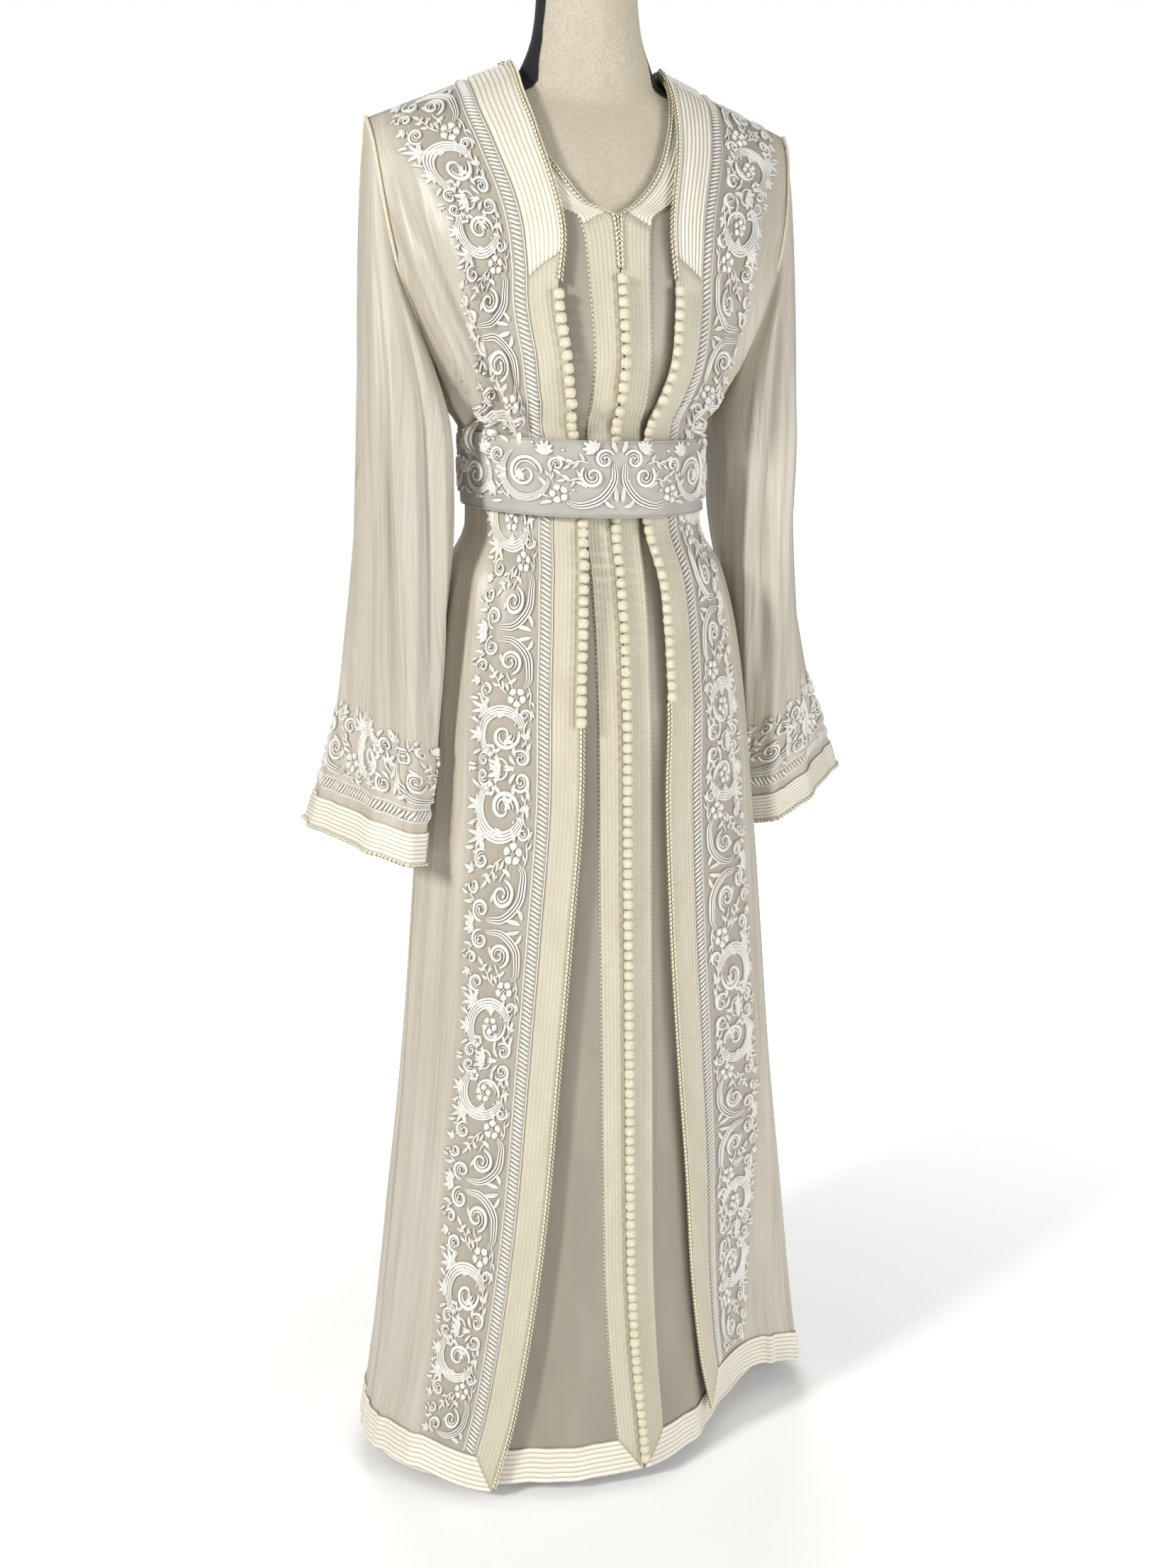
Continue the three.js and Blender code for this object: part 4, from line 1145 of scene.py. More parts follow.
# An edge cord's loops: their pitch, width and thickness, and how high the cord stands
PLAIT = {"pitch": 0.0046, "wide": 0.0066, "thick": 0.0021, "lift": 0.0026}


# Finishes

class Tree:
    """Adds nodes to a material or a group and joins them up"""

    def __init__(self, tree):
        self.tree = tree

    def put(self, socket, value):
        if isinstance(value, bpy.types.NodeSocket):
            self.tree.links.new(value, socket)
        else:
            socket.default_value = value

    def add(self, kind, inputs=None, **settings):
        node = self.tree.nodes.new(kind)
        for name, value in settings.items():
            setattr(node, name, value)
        for name, value in (inputs or {}).items():
            self.put(node.inputs[name], value)
        return node

    def math(self, operation, *values):
        node = self.add("ShaderNodeMath", operation=operation)
        for socket, value in zip(node.inputs, values):
            self.put(socket, value)
        return node.outputs[0]

    def mix(self, share, first, second):
        """Two colours mixed; a Mix node has its colour sockets after those of its other kinds"""
        node = self.add("ShaderNodeMix", data_type="RGBA")
        self.put(node.inputs[0], share)
        self.put(node.inputs[6], first)
        self.put(node.inputs[7], second)
        return node.outputs[2]

    def split(self, vector):
        return self.add("ShaderNodeSeparateXYZ", {"Vector": vector}).outputs

    def ramp(self, value, low, high):
        """0 at low to 1 at high"""
        return self.add("ShaderNodeMapRange", {"Value": value, "From Min": low, "From Max": high}).outputs[0]

    def group(self, group, **inputs):
        node = self.add("ShaderNodeGroup", node_tree=group)
        for name, value in inputs.items():
            self.put(node.inputs[name], value)
        return node.outputs[0]


def effect(name, inputs, output, build):
    """A node group with named inputs and one named output"""
    group = bpy.data.node_groups.new(name, "ShaderNodeTree")
    for label in inputs:
        kind = "NodeSocketVector" if label == "Place" else "NodeSocketFloat"
        group.interface.new_socket(label, in_out="INPUT", socket_type=kind)
    group.interface.new_socket(output, in_out="OUTPUT", socket_type="NodeSocketFloat")
    tree = Tree(group)
    start = tree.add("NodeGroupInput")
    end = tree.add("NodeGroupOutput")
    tree.put(end.inputs[output], build(tree, start.outputs))
    return group


def build_uneven(tree, given):
    """Soft uneven mask: Across and Along are patches to the metre, Low and High its range"""
    repeats = {"X": given["Across"], "Y": given["Along"], "Z": given["Across"]}
    scale = tree.add("ShaderNodeCombineXYZ", repeats)
    stretched = tree.add("ShaderNodeVectorMath", operation="MULTIPLY")
    tree.put(stretched.inputs[0], given["Place"])
    tree.put(stretched.inputs[1], scale.outputs[0])
    noise = tree.add("ShaderNodeTexNoise", {"Vector": stretched.outputs[0], "Scale": 1.0, "Detail": 3.0})
    spread = tree.add("ShaderNodeMapRange", {"Value": noise.outputs[0], "From Min": 0.3, "From Max": 0.7})
    tree.put(spread.inputs["To Min"], given["Low"])
    tree.put(spread.inputs["To Max"], given["High"])
    return spread.outputs[0]


def build_weave(tree, given):
    """Plain weave: Pitch is one thread's width in metres"""
    place = tree.split(given["Place"])
    turns = tree.math("DIVIDE", math.pi, given["Pitch"])
    waves = [tree.math("SINE", tree.math("MULTIPLY", place[k], turns)) for k in range(2)]
    crossed = tree.math("MULTIPLY", *waves)
    return tree.math("MULTIPLY_ADD", crossed, 0.5, 0.5)


def build_threads(tree, given):
    """Laid threads: Pitch from one to the next, Slant how far they lean, Uneven how much they stray"""
    place = tree.split(given["Place"])
    lean = tree.math("MULTIPLY", place[0], given["Slant"])
    noise = tree.add("ShaderNodeTexNoise", {"Vector": given["Place"], "Scale": 900.0, "Detail": 2.0})
    stray = tree.math("MULTIPLY", noise.outputs[0], given["Uneven"])
    run = tree.math("DIVIDE", tree.math("ADD", place[1], lean), given["Pitch"])
    wave = tree.math("SINE", tree.math("MULTIPLY", tree.math("ADD", run, stray), 2 * math.pi))
    return tree.math("MULTIPLY_ADD", wave, 0.5, 0.5)


def build_knit(tree, given):
    """Braid knitted in columns of small V stitches: Column and Row in metres"""
    place = tree.split(given["Place"])
    column = tree.math("FRACT", tree.math("DIVIDE", place[0], given["Column"]))
    away = tree.math("ABSOLUTE", tree.math("SUBTRACT", column, 0.5))
    run = tree.math("ADD", tree.math("DIVIDE", place[1], given["Row"]), away)
    stitch = tree.math("ABSOLUTE", tree.math("SINE", tree.math("MULTIPLY", run, math.pi)))
    ridge = tree.math("COSINE", tree.math("MULTIPLY", away, math.pi))
    return tree.math("MULTIPLY", tree.math("POWER", stitch, 0.6), ridge)


UNEVEN = effect("uneven", ["Place", "Across", "Along", "Low", "High"], "Mask", build_uneven)
WEAVE = effect("plain_weave", ["Place", "Pitch"], "Height", build_weave)
THREADS = effect("laid_threads", ["Place", "Pitch", "Slant", "Uneven"], "Height", build_threads)
KNIT = effect("knitted_braid", ["Place", "Column", "Row"], "Height", build_knit)


def uneven(tree, place, across, along, low=0, high=1):
    """The uneven mask, placed in a material"""
    return tree.group(UNEVEN, Place=place, Across=across, Along=along, Low=low, High=high)


def finish(name, **constants):
    """A material with its Principled shader's constants set, its tree and its shader"""
    material = bpy.data.materials.new(name)
    material.use_nodes = True
    material.node_tree.nodes.clear()
    tree = Tree(material.node_tree)
    shader = tree.add("ShaderNodeBsdfPrincipled")
    for label, value in constants.items():
        shader.inputs[label.replace("_", " ")].default_value = value
    end = tree.add("ShaderNodeOutputMaterial")
    tree.put(end.inputs["Surface"], shader.outputs[0])
    return material, tree, shader


def on_cloth(tree):
    return tree.add("ShaderNodeUVMap", uv_map="Cloth").outputs[0]


def on_object(tree):
    return tree.add("ShaderNodeTexCoord").outputs["Object"]


def bumped(tree, shader, height, strength, deep):
    """Adds a height to the shader's normal; several calls stack"""
    bump = tree.add("ShaderNodeBump", {"Height": height, "Strength": strength, "Distance": deep})
    normal = shader.inputs["Normal"]
    if normal.links:
        tree.put(bump.inputs["Normal"], normal.links[0].from_socket)
    tree.put(normal, bump.outputs[0])


def crepe_finish():
    """Thin crepe with a satin face: fine upright crinkle streaks with painted sheen, broad bands of painted
    sheen and fold shade, greyer under the embroidery, partly from its tighter ground and partly painted shade
    """
    dark = (0.40, 0.352, 0.28, 1)
    light = (0.55, 0.50, 0.418, 1)
    # The pale colour of the broad bands is painted sheen.
    pale = (0.66, 0.62, 0.545, 1)
    # Under the embroidery: partly the tighter stitched ground, partly painted shade among the raised stitches
    stitched_ground_and_shade = (0.375, 0.342, 0.285, 1)
    material, tree, shader = finish(
        "crepe",
        Sheen_Weight=0.25,
        Sheen_Roughness=0.35,
        Sheen_Tint=(1, 0.97, 0.92, 1),
        Anisotropic=0.35,
        Specular_IOR_Level=0.5,
        Subsurface_Weight=0.08,
        Subsurface_Scale=0.01,
    )
    place = on_cloth(tree)
    # Upright streaks: the crepe's crinkle, with painted sheen along it
    streaks = uneven(tree, place, 330, 7)
    # Broad bands: painted sheen and fold shade in the cloth's colour
    bands = tree.math("MULTIPLY", uneven(tree, place, 34, 2.5), 0.6)
    cloth = tree.mix(bands, tree.mix(streaks, dark, light), pale)
    # Darkens the cloth under the embroidery: partly its tighter ground, partly painted shade
    stitched = tree.add("ShaderNodeAttribute", attribute_name="stitched").outputs["Fac"]
    colour = tree.mix(tree.math("MULTIPLY", stitched, 0.75), cloth, stitched_ground_and_shade)
    tree.put(shader.inputs["Base Color"], colour)
    tree.put(shader.inputs["Roughness"], uneven(tree, place, 260, 9, 0.33, 0.5))
    bumped(tree, shader, streaks, strength=0.25, deep=0.0004)
    bumped(tree, shader, tree.group(WEAVE, Place=place, Pitch=0.0005), strength=0.2, deep=0.00012)
    return material


def satin_finish():
    """The underdress's smooth satin"""
    dark = (0.30, 0.27, 0.216, 1)
    light = (0.37, 0.335, 0.272, 1)
    material, tree, shader = finish(
        "satin",
        Sheen_Weight=0.15,
        Sheen_Roughness=0.3,
        Anisotropic=0.4,
        Specular_IOR_Level=0.5,
    )
    place = on_cloth(tree)
    soft = uneven(tree, place, 22, 5)
    tree.put(shader.inputs["Base Color"], tree.mix(soft, dark, light))
    tree.put(shader.inputs["Roughness"], uneven(tree, place, 90, 20, 0.32, 0.42))
    bumped(tree, shader, soft, strength=0.2, deep=0.0010)
    bumped(tree, shader, tree.group(WEAVE, Place=place, Pitch=0.0004), strength=0.15, deep=0.0001)
    return material


def knit_finish():
    """The upright bands: matt braid in fine knitted columns, with painted shade in the grooves between
    stitches
    """
    dark = (0.70, 0.645, 0.49, 1)
    light = (0.79, 0.75, 0.62, 1)
    groove_shade = (0.42, 0.375, 0.275, 1)
    material, tree, shader = finish(
        "knitted_braid",
        Sheen_Weight=0.2,
        Sheen_Roughness=0.5,
        Specular_IOR_Level=0.35,
    )
    place = on_cloth(tree)
    knit = tree.group(KNIT, Place=place, Column=0.0034, Row=0.0019)
    thread = tree.mix(uneven(tree, place, 40, 14), dark, light)
    # Painted shade in the knit's grooves
    sunk_shade = tree.math("MULTIPLY", tree.math("SUBTRACT", 1, knit), 0.55)
    tree.put(shader.inputs["Base Color"], tree.mix(sunk_shade, thread, groove_shade))
    tree.put(shader.inputs["Roughness"], uneven(tree, place, 150, 150, 0.5, 0.66))
    bumped(tree, shader, knit, strength=0.9, deep=0.0007)
    return material


def ribbed_finish():
    """The neck, hem and cuff bands: satin cords laid side by side, with painted shade in the grooves between
    them
    """
    dark = (0.82, 0.775, 0.655, 1)
    light = (0.90, 0.875, 0.79, 1)
    groove_shade = (0.50, 0.455, 0.35, 1)
    material, tree, shader = finish(
        "ribbed_braid",
        Sheen_Weight=0.2,
        Sheen_Roughness=0.4,
        Specular_IOR_Level=0.5,
    )
    place = on_cloth(tree)
    threads = tree.group(THREADS, Place=place, Pitch=0.0015, Slant=0.7, Uneven=0.6)
    cord = tree.mix(uneven(tree, place, 60, 12), dark, light)
    rib = tree.math("FRACT", tree.math("DIVIDE", tree.split(place)[0], RIB))
    away = tree.math("ABSOLUTE", tree.math("SUBTRACT", rib, 0.5))
    # Painted shade in the grooves between the ribs
    tree.put(shader.inputs["Base Color"], tree.mix(tree.ramp(away, 0.3, 0.5), cord, groove_shade))
    tree.put(shader.inputs["Roughness"], uneven(tree, place, 200, 40, 0.34, 0.5))
    ridge = tree.math("COSINE", tree.math("MULTIPLY", away, math.pi))
    bumped(tree, shader, ridge, strength=0.7, deep=0.0010)
    bumped(tree, shader, threads, strength=0.3, deep=0.0003)
    return material


def cord_finish():
    """Wound thread of the knots and the armhole cords"""
    dark = (0.70, 0.64, 0.46, 1)
    light = (0.84, 0.80, 0.65, 1)
    material, tree, shader = finish(
        "wound_thread",
        Sheen_Weight=0.2,
        Sheen_Roughness=0.4,
        Specular_IOR_Level=0.45,
    )
    place = on_cloth(tree)
    threads = tree.group(THREADS, Place=place, Pitch=0.0011, Slant=0.8, Uneven=0.5)
    tree.put(shader.inputs["Base Color"], tree.mix(uneven(tree, place, 300, 300), dark, light))
    tree.put(shader.inputs["Roughness"], uneven(tree, place, 500, 500, 0.4, 0.56))
    bumped(tree, shader, threads, strength=0.5, deep=0.0005)
    return material


def picot_finish():
    """Edge cords: small loops of thread, with painted shadow where one passes under the next"""
    dark = (0.80, 0.745, 0.54, 1)
    light = (0.89, 0.85, 0.69, 1)
    shadow = (0.20, 0.165, 0.095, 1)
    material, tree, shader = finish(
        "picot_cord",
        Sheen_Weight=0.2,
        Sheen_Roughness=0.4,
        Specular_IOR_Level=0.45,
    )
    place = on_cloth(tree)
    loops = tree.group(THREADS, Place=place, Pitch=PLAIT["pitch"], Slant=0, Uneven=0)
    thread = tree.mix(uneven(tree, on_object(tree), 200, 200), dark, light)
    # Painted shadow where one loop passes under the next
    sunk_shade = tree.math("POWER", tree.math("SUBTRACT", 1, loops), 1.6)
    tree.put(shader.inputs["Base Color"], tree.mix(sunk_shade, thread, shadow))
    tree.put(shader.inputs["Roughness"], uneven(tree, place, 500, 500, 0.4, 0.56))
    return material


def stitch_finish():
    """White silk thread of the embroidery and its rope border, shaded towards a stroke's rim"""
    dark = (0.83, 0.81, 0.76, 1)
    light = (0.93, 0.915, 0.88, 1)
    shadow = (0.23, 0.205, 0.165, 1)
    material, tree, shader = finish(
        "silk_stitches",
        Sheen_Weight=0.3,
        Sheen_Roughness=0.3,
        Specular_IOR_Level=0.85,
        Anisotropic=0.3,
    )
    place = on_cloth(tree)
    threads = tree.group(THREADS, Place=place, Pitch=0.0012, Slant=0.5, Uneven=0.5)
    silk = tree.mix(uneven(tree, place, 160, 60), dark, light)
    rim = tree.ramp(tree.math("ABSOLUTE", tree.split(place)[0]), 0.0009, 0.0019)
    tree.put(shader.inputs["Base Color"], tree.mix(rim, silk, shadow))
    tree.put(shader.inputs["Roughness"], uneven(tree, place, 400, 90, 0.24, 0.38))
    bumped(tree, shader, threads, strength=0.45, deep=0.0005)
    return material


def belt_finish():
    """The belt's grey satin"""
    dark = (0.385, 0.375, 0.34, 1)
    light = (0.455, 0.445, 0.41, 1)
    material, tree, shader = finish("belt_satin", Sheen_Weight=0.2, Sheen_Roughness=0.3, Anisotropic=0.3)
    place = on_cloth(tree)
    tree.put(shader.inputs["Base Color"], tree.mix(uneven(tree, place, 30, 60), dark, light))
    tree.put(shader.inputs["Roughness"], uneven(tree, place, 120, 120, 0.36, 0.46))
    bumped(tree, shader, tree.group(WEAVE, Place=place, Pitch=0.0005), strength=0.25, deep=0.00015)
    return material


# The black cloth begins over this step in y, and further forward at the neck's base and below.
BLACK_FROM_Y = NECK_Y - 0.017
BLACK_TO_Y = NECK_Y - 0.0155
BLACK_FORWARD = 0.014


def linen_finish():
    """The form's cover: slubby linen in front, black cloth at the sides and the back"""
    dark = (0.48, 0.43, 0.34, 1)
    light = (0.63, 0.58, 0.475, 1)
    stained = (0.50, 0.43, 0.32, 1)
    material, tree, shader = finish("linen", Sheen_Weight=0.1, Specular_IOR_Level=0.25)
    place = on_object(tree)
    slubs = uneven(tree, place, 420, 420)
    stain = tree.math("MULTIPLY", uneven(tree, place, 26, 26), 0.4)
    linen = tree.mix(stain, tree.mix(slubs, dark, light), stained)
    black = tree.mix(slubs, (0.010, 0.010, 0.012, 1), (0.022, 0.022, 0.026, 1))
    parts = tree.split(place)
    below = tree.ramp(parts["Z"], 1.51, 1.44)
    forward = tree.math("MULTIPLY_ADD", below, BLACK_FORWARD, parts["Y"])
    behind = tree.ramp(forward, BLACK_FROM_Y, BLACK_TO_Y)
    tree.put(shader.inputs["Base Color"], tree.mix(behind, linen, black))
    tree.put(shader.inputs["Roughness"], uneven(tree, place, 300, 300, 0.75, 0.92))
    bumped(tree, shader, tree.group(WEAVE, Place=place, Pitch=0.0009), strength=0.35, deep=0.0003)
    return material


def stand_finish(name, dark, light, metallic, low, high):
    """Stand metal or dark lacquer with a faint turned grain, low to high in roughness"""
    material, tree, shader = finish(name, Metallic=metallic, Specular_IOR_Level=0.5)
    place = on_object(tree)
    grain = uneven(tree, place, 60, 60)
    tree.put(shader.inputs["Base Color"], tree.mix(grain, dark, light))
    tree.put(shader.inputs["Roughness"], uneven(tree, place, 500, 90, low, high))
    bumped(tree, shader, grain, strength=0.1, deep=0.0004)
    return material


# Every rib counts as this wide in a band's finish, in metres.
RIB = 0.004

CREPE = crepe_finish()
SATIN = satin_finish()
KNITTED = knit_finish()
RIBBED = ribbed_finish()
WOUND = cord_finish()
PICOT = picot_finish()
SILK = stitch_finish()
BELT_SATIN = belt_finish()
LINEN = linen_finish()
LACQUER = stand_finish("black_lacquer", (0.012, 0.012, 0.013, 1), (0.03, 0.03, 0.032, 1), 0.0, 0.3, 0.45)
STEEL = stand_finish("stand_steel", (0.11, 0.11, 0.115, 1), (0.2, 0.2, 0.205, 1), 1.0, 0.3, 0.5)


# Patches of the cloth that trims are laid on

PATCH_ROWS = 300
PATCH_COLUMNS = 160
# A front's patch runs on past its open edge for its cords: how far, in how many columns
BEYOND = 0.008
BEYOND_COLUMNS = 5
# How much of the back's upper part, and from how far down the sleeve, the smaller patches cover
BACK_NECK_SHARE = 0.2
CUFF_PATCH_FROM = 0.45
FINE_STEP = 0.001


def level_steps(layer, count):
    """Levels from a layer's hem to its neck"""
    return np.linspace(layer["hem"], NECK_SIDE_Z, count)[:, None]


def front_patch(layer, side):
    """A front measured along its open edge and across from it"""
    level = level_steps(layer, PATCH_ROWS)
    edge = front_edge_deg(layer, side, level)
    before = front_edge_deg(layer, side, level, BEYOND)
    outer = outer_edge_deg(layer, level)
    near = before + (edge - before) * np.linspace(0, 1, BEYOND_COLUMNS + 1)[None]
    far = edge + (outer - edge) * np.linspace(0, 1, PATCH_COLUMNS)[None, 1:]
    deg = side * np.concatenate([near, far], 1)
    patch = Patch(cloth_point(layer, deg, level), edge=BEYOND_COLUMNS)
    patch.heights = height_of(level[:, 0])
    return patch


def back_turns(deg_across, level):
    """Angles and levels of the back, whose neck is scooped"""
    neck = np.degrees(np.arcsin(NECK_SIDE_X / RIDGE_HALF_WIDTH))
    scoop = np.maximum(0, 1 - (deg_across / neck) ** 2) * BACK_NECK_DROP
    return 180 - deg_across, level - scoop * share_of(level)


def back_hem_patch(layer):
    level = layer["hem"] + np.linspace(0, HEM_BAND + 0.01, 26)[None]
    across = np.linspace(1, -1, PATCH_ROWS)[:, None] * outer_edge_deg(layer, level)
    return Patch(cloth_point(layer, *back_turns(across, level)))


def back_neck_patch(layer):
    reach = np.degrees(np.arcsin((NECK_SIDE_X + BACK_BAND_REACH) / RIDGE_HALF_WIDTH))
    across = np.linspace(reach, -reach, 120)[:, None]
    level = NECK_SIDE_Z - np.linspace(0, UPPER_SPAN * BACK_NECK_SHARE, 40)[None]
    return Patch(cloth_point(layer, *back_turns(across, level)), step=FINE_STEP)


def cuff_patch(side):
    """The lower sleeve measured round from its inside and up from the cuff's edge"""
    phi = (np.linspace(0, 2 * np.pi, 181)[:-1] + np.pi) % (2 * np.pi)
    fall = np.linspace(1, CUFF_PATCH_FROM, 90)[:, None]
    grid = np.swapaxes(creased_sleeve(side, phi, fall), 0, 1)
    grid = np.concatenate([grid, grid[:1]])
    return Patch(grid, about=grid.mean((0, 1)))


def belt_patch():
    deg = np.linspace(-180, 180, 361)[:, None]
    return Patch(belt_point(deg, np.linspace(0, 1, 40)[None]), step=FINE_STEP)


def width_by_height(patch, table):
    """A width given by height, as a function of the distance along a front"""
    widths = read(table, "z", "width", patch.heights)
    return lambda along: np.interp(along, patch.along, widths)


def steady(distance):
    """The same distance all along"""
    return lambda along: distance + 0 * along


def offset(line, distance):
    """A line that keeps a distance further on than another"""
    return lambda along: line(along) + distance


def along_at(patch, z):
    return float(np.interp(z, patch.heights, patch.along))


# Ways of laying trims on a patch

# Ribs side by side in each kind of band, and how high they stand
KNIT_RIBS = 6
HEM_RIBS = 7
NECK_RIBS = 8
CUFF_RIBS = 8
KNIT_RISE = 0.0003
RIB_RISE = 0.0008
RIB_ROUND = 0.6
RIB_POINTS = 4
BAND_STEP = 0.006
LINE_STEP = 0.004


def ribbed_wall(patch, along, across, q, ribs, rise, run):
    """A band's closed wall: its ribs lie side by side by share q, and run is the way they go"""
    profile = rise * np.abs(np.sin(np.pi * ribs * q)) ** RIB_ROUND
    outer = patch.at(along, across, SEAM + TRIM + profile)
    inner = patch.at(along, across, np.full(along.shape, SEAM))
    return thin_wall(outer, inner, np.stack([RIB * ribs * q + 0 * run, run], -1))


def banded(patch, near, far, start, end, ribs, rise, step=BAND_STEP):
    """A flat band with raised ribs. near and far give its edges across, by distance along;
    start and end give where each of its ribs begins and ends, by share across."""
    q = np.linspace(0, 1, ribs * RIB_POINTS + 1)
    first, last = start(q), end(q)
    count = max(4, int((last - first).max() / step))
    along = first + (last - first) * np.linspace(0, 1, count)[:, None]
    across = near(along) + (far(along) - near(along)) * q
    return ribbed_wall(patch, along, across, q, ribs, rise, along)


def run_line(patch, across, start, end, wide, rise):
    """One raised thread along a patch"""
    along = np.linspace(start, end, max(4, int((end - start) / LINE_STEP)))[:, None]
    places = across(along) + wide / 2 * SECTION
    along = along + 0 * places
    points = patch.at(along, places, rise * SECTION_RISE + 0 * places)
    flat = np.stack([wide / 2 * SECTION + 0 * places, along], -1)
    return points.reshape(-1, 3), grid_faces(len(along), len(SECTION)), flat.reshape(-1, 2)


# The slanted border: its bars in millimetres, wide and rise, and the rest in metres
ROPE = {"width": 0.0118, "pitch": 0.0050, "lean": 0.0058, "edge": 0.0014, "wide": 3.7, "rise": 1.5}
ROPE_SPAN = ROPE["width"] + 2 * ROPE["edge"]
ROPE_LINE_RISE = 0.0008
ROPE_STATIONS = 7


def rope_border(patch, near, start, end):
    """Slanting satin bars between two fine lines"""
    t = np.linspace(0, 1, ROPE_STATIONS)
    line = np.stack([ROPE["lean"] * 1000 * smooth(t), ROPE["width"] * 1000 * t], -1)
    bar = stroke_mesh([stroke(line, ROPE["wide"], ROPE["rise"], peak=0.5, blunt=0.45)])
    parts = []
    for s in np.arange(start, end, ROPE["pitch"]):

        def place(along, out, s=s):
            return s + along / 1000, near(s) + ROPE["edge"] + out / 1000

        parts.append(sewn(patch, bar, place))
    for distance in (ROPE["edge"] / 2, ROPE["width"] + ROPE["edge"] * 1.5):
        line = offset(near, distance)
        parts.append(run_line(patch, line, start, end, ROPE["edge"], ROPE_LINE_RISE))
    return joined(parts)


# A loop of an edge cord: how full it is at each station, and the shares of its pitch and
# thickness that shape it
LOOP_SWELL = np.array([0.15, 0.85, 1, 0.85, 0.15])
LOOP_SIDES = 6
LOOP_LENGTH = 0.95
LOOP_HALF = 0.42
LOOP_LEAN = 0.35
LOOP_BULGE = 0.0004


def plait(patch, across, start, end):
    """An edge cord plaited from two slanting strands"""
    stations = np.linspace(0, 1, len(LOOP_SWELL))[:, None]
    swell = LOOP_SWELL[:, None]
    turn = np.linspace(0, 2 * np.pi, LOOP_SIDES + 1)[None, :-1]
    full = np.zeros((len(LOOP_SWELL), LOOP_SIDES))
    faces = grid_faces(*full.shape, True)
    pitch = PLAIT["pitch"]
    count = int((end - start) / pitch)
    parts = []
    for k in range(count):
        s = start + (end - start) * k / count
        for way in (-1, 1):
            run = s + pitch * (LOOP_LENGTH * stations + LOOP_HALF * swell * np.cos(turn) + (way > 0) * 0.5)
            slant = way * PLAIT["wide"] * (0.5 * (1 - stations) - 0.02)
            side = across(s) + slant + LOOP_BULGE * swell * np.cos(turn)
            rise = PLAIT["lift"] + PLAIT["thick"] * (swell * np.sin(turn) + LOOP_LEAN * stations)
            points = patch.at(run, side, rise)
            flat = np.stack([side - across(s), pitch * (stations - 0.25) + full], -1)
            parts.append((points.reshape(-1, 3), faces[:, ::way], flat.reshape(-1, 2)))
    return joined(parts)


KNOT_ROWS = 11
KNOT_SIDES = 14
# A knot's half length as a share of the pitch, its least and greatest size, its core and how far
# the wound thread stands up on it
KNOT_HALF = 0.46
KNOT_SIZES = (0.94, 1.05)
KNOT_CORE = 0.84
KNOT_WOUND = 0.13
# A knot's thread is measured off on its finish as if the knot had this radius.
KNOT_THREAD = 0.005


def knots(points, normals, deep):
    """A row of knotted buttons: balls of wound thread, one at each point"""
    polar = np.linspace(0, np.pi, KNOT_ROWS)[:, None]
    turned = np.linspace(0, 2 * np.pi, KNOT_SIDES + 1)[None, :-1]
    full = np.zeros((KNOT_ROWS, KNOT_SIDES))
    faces = grid_faces(KNOT_ROWS, KNOT_SIDES, True)
    along = unit(np.gradient(points, axis=0))
    beside = unit(np.cross(along, normals))
    chance = np.random.default_rng(7)
    parts = []
    for k in range(len(points)):
        turn = chance.uniform(0, 2 * np.pi)
        size = chance.uniform(*KNOT_SIZES)
        wound = np.abs(np.sin(2 * polar + 1.5 * turned + turn))
        wound = wound + np.abs(np.sin(2.5 * polar - 2 * turned - turn))
        radius = size * (KNOT_CORE + KNOT_WOUND * wound)
        run = np.cos(polar) * np.abs(np.cos(polar)) ** -0.2 * radius
        girth = np.sin(polar) ** 0.62 * radius
        knot = (
            points[k]
            + along[k] * (KNOT["pitch"] * KNOT_HALF * run)[..., None]
            + beside[k] * (KNOT["across"] * girth * np.cos(turned))[..., None]
            + normals[k] * (deep[k] * girth * np.sin(turned))[..., None]
        )
        flat = np.stack([KNOT_THREAD * turned + full, KNOT_THREAD * polar + KNOT["pitch"] * k + full], -1)
        parts.append((knot.reshape(-1, 3), faces, flat.reshape(-1, 2)))
    return joined(parts)


# The body panels, with their trims


def panel_piece(name, points, material, slot, node, around=False):
    """A hung sheet of cloth between its outer face and CLOTH behind it"""
    normals = grid_normals(points, around)
    inner = points - normals * CLOTH
    down = lengths(points, 0)
    across = lengths(points, 1)
    middle = across[:, across.shape[1] // 2, None] if "back" in name else 0
    flat = np.stack([across - middle, np.broadcast_to(down.mean(1)[:, None], across.shape)], -1)
    piece = new_piece(name, *thin_wall(points, inner, flat, around), material, slot, [node])
    if around:
        across = lengths(np.concatenate([points, points[:, :1]], 1), 1)
    return piece


# How far outside the stitches their mark on the cloth begins, and over what width it grows
MARK_START = (0.004, 0.008)
MARK_END = (0.012, 0.030)


def mark_stitched(piece, patch, near, far):
    """Marks where the embroidery lies on the cloth, for its colour: its tighter ground there, and painted
    shade among the raised stitches
    """
    mesh = piece.data
    places = np.empty(len(mesh.vertices) * 3, np.float32)
    mesh.vertices.foreach_get("co", places)
    places = places.reshape(-1, 3)
    along = np.interp(places[:, 2], patch.heights, patch.along)
    last = len(patch.along) - 1
    row = np.clip(np.interp(along, patch.along, np.arange(last + 1)).astype(int), 0, last)
    outwards = np.abs(patch.points[row, :, 0])
    wide = np.array([np.interp(x, line, patch.across) for x, line in zip(np.abs(places[:, 0]), outwards)])
    begins = smooth((wide - near(along) + MARK_START[0]) / MARK_START[1])
    ends = smooth((far(along) - wide + MARK_END[0]) / MARK_END[1])
    layer = mesh.attributes.new("stitched", "FLOAT", "POINT")
    layer.data.foreach_set("value", (begins * ends).astype(np.float32))


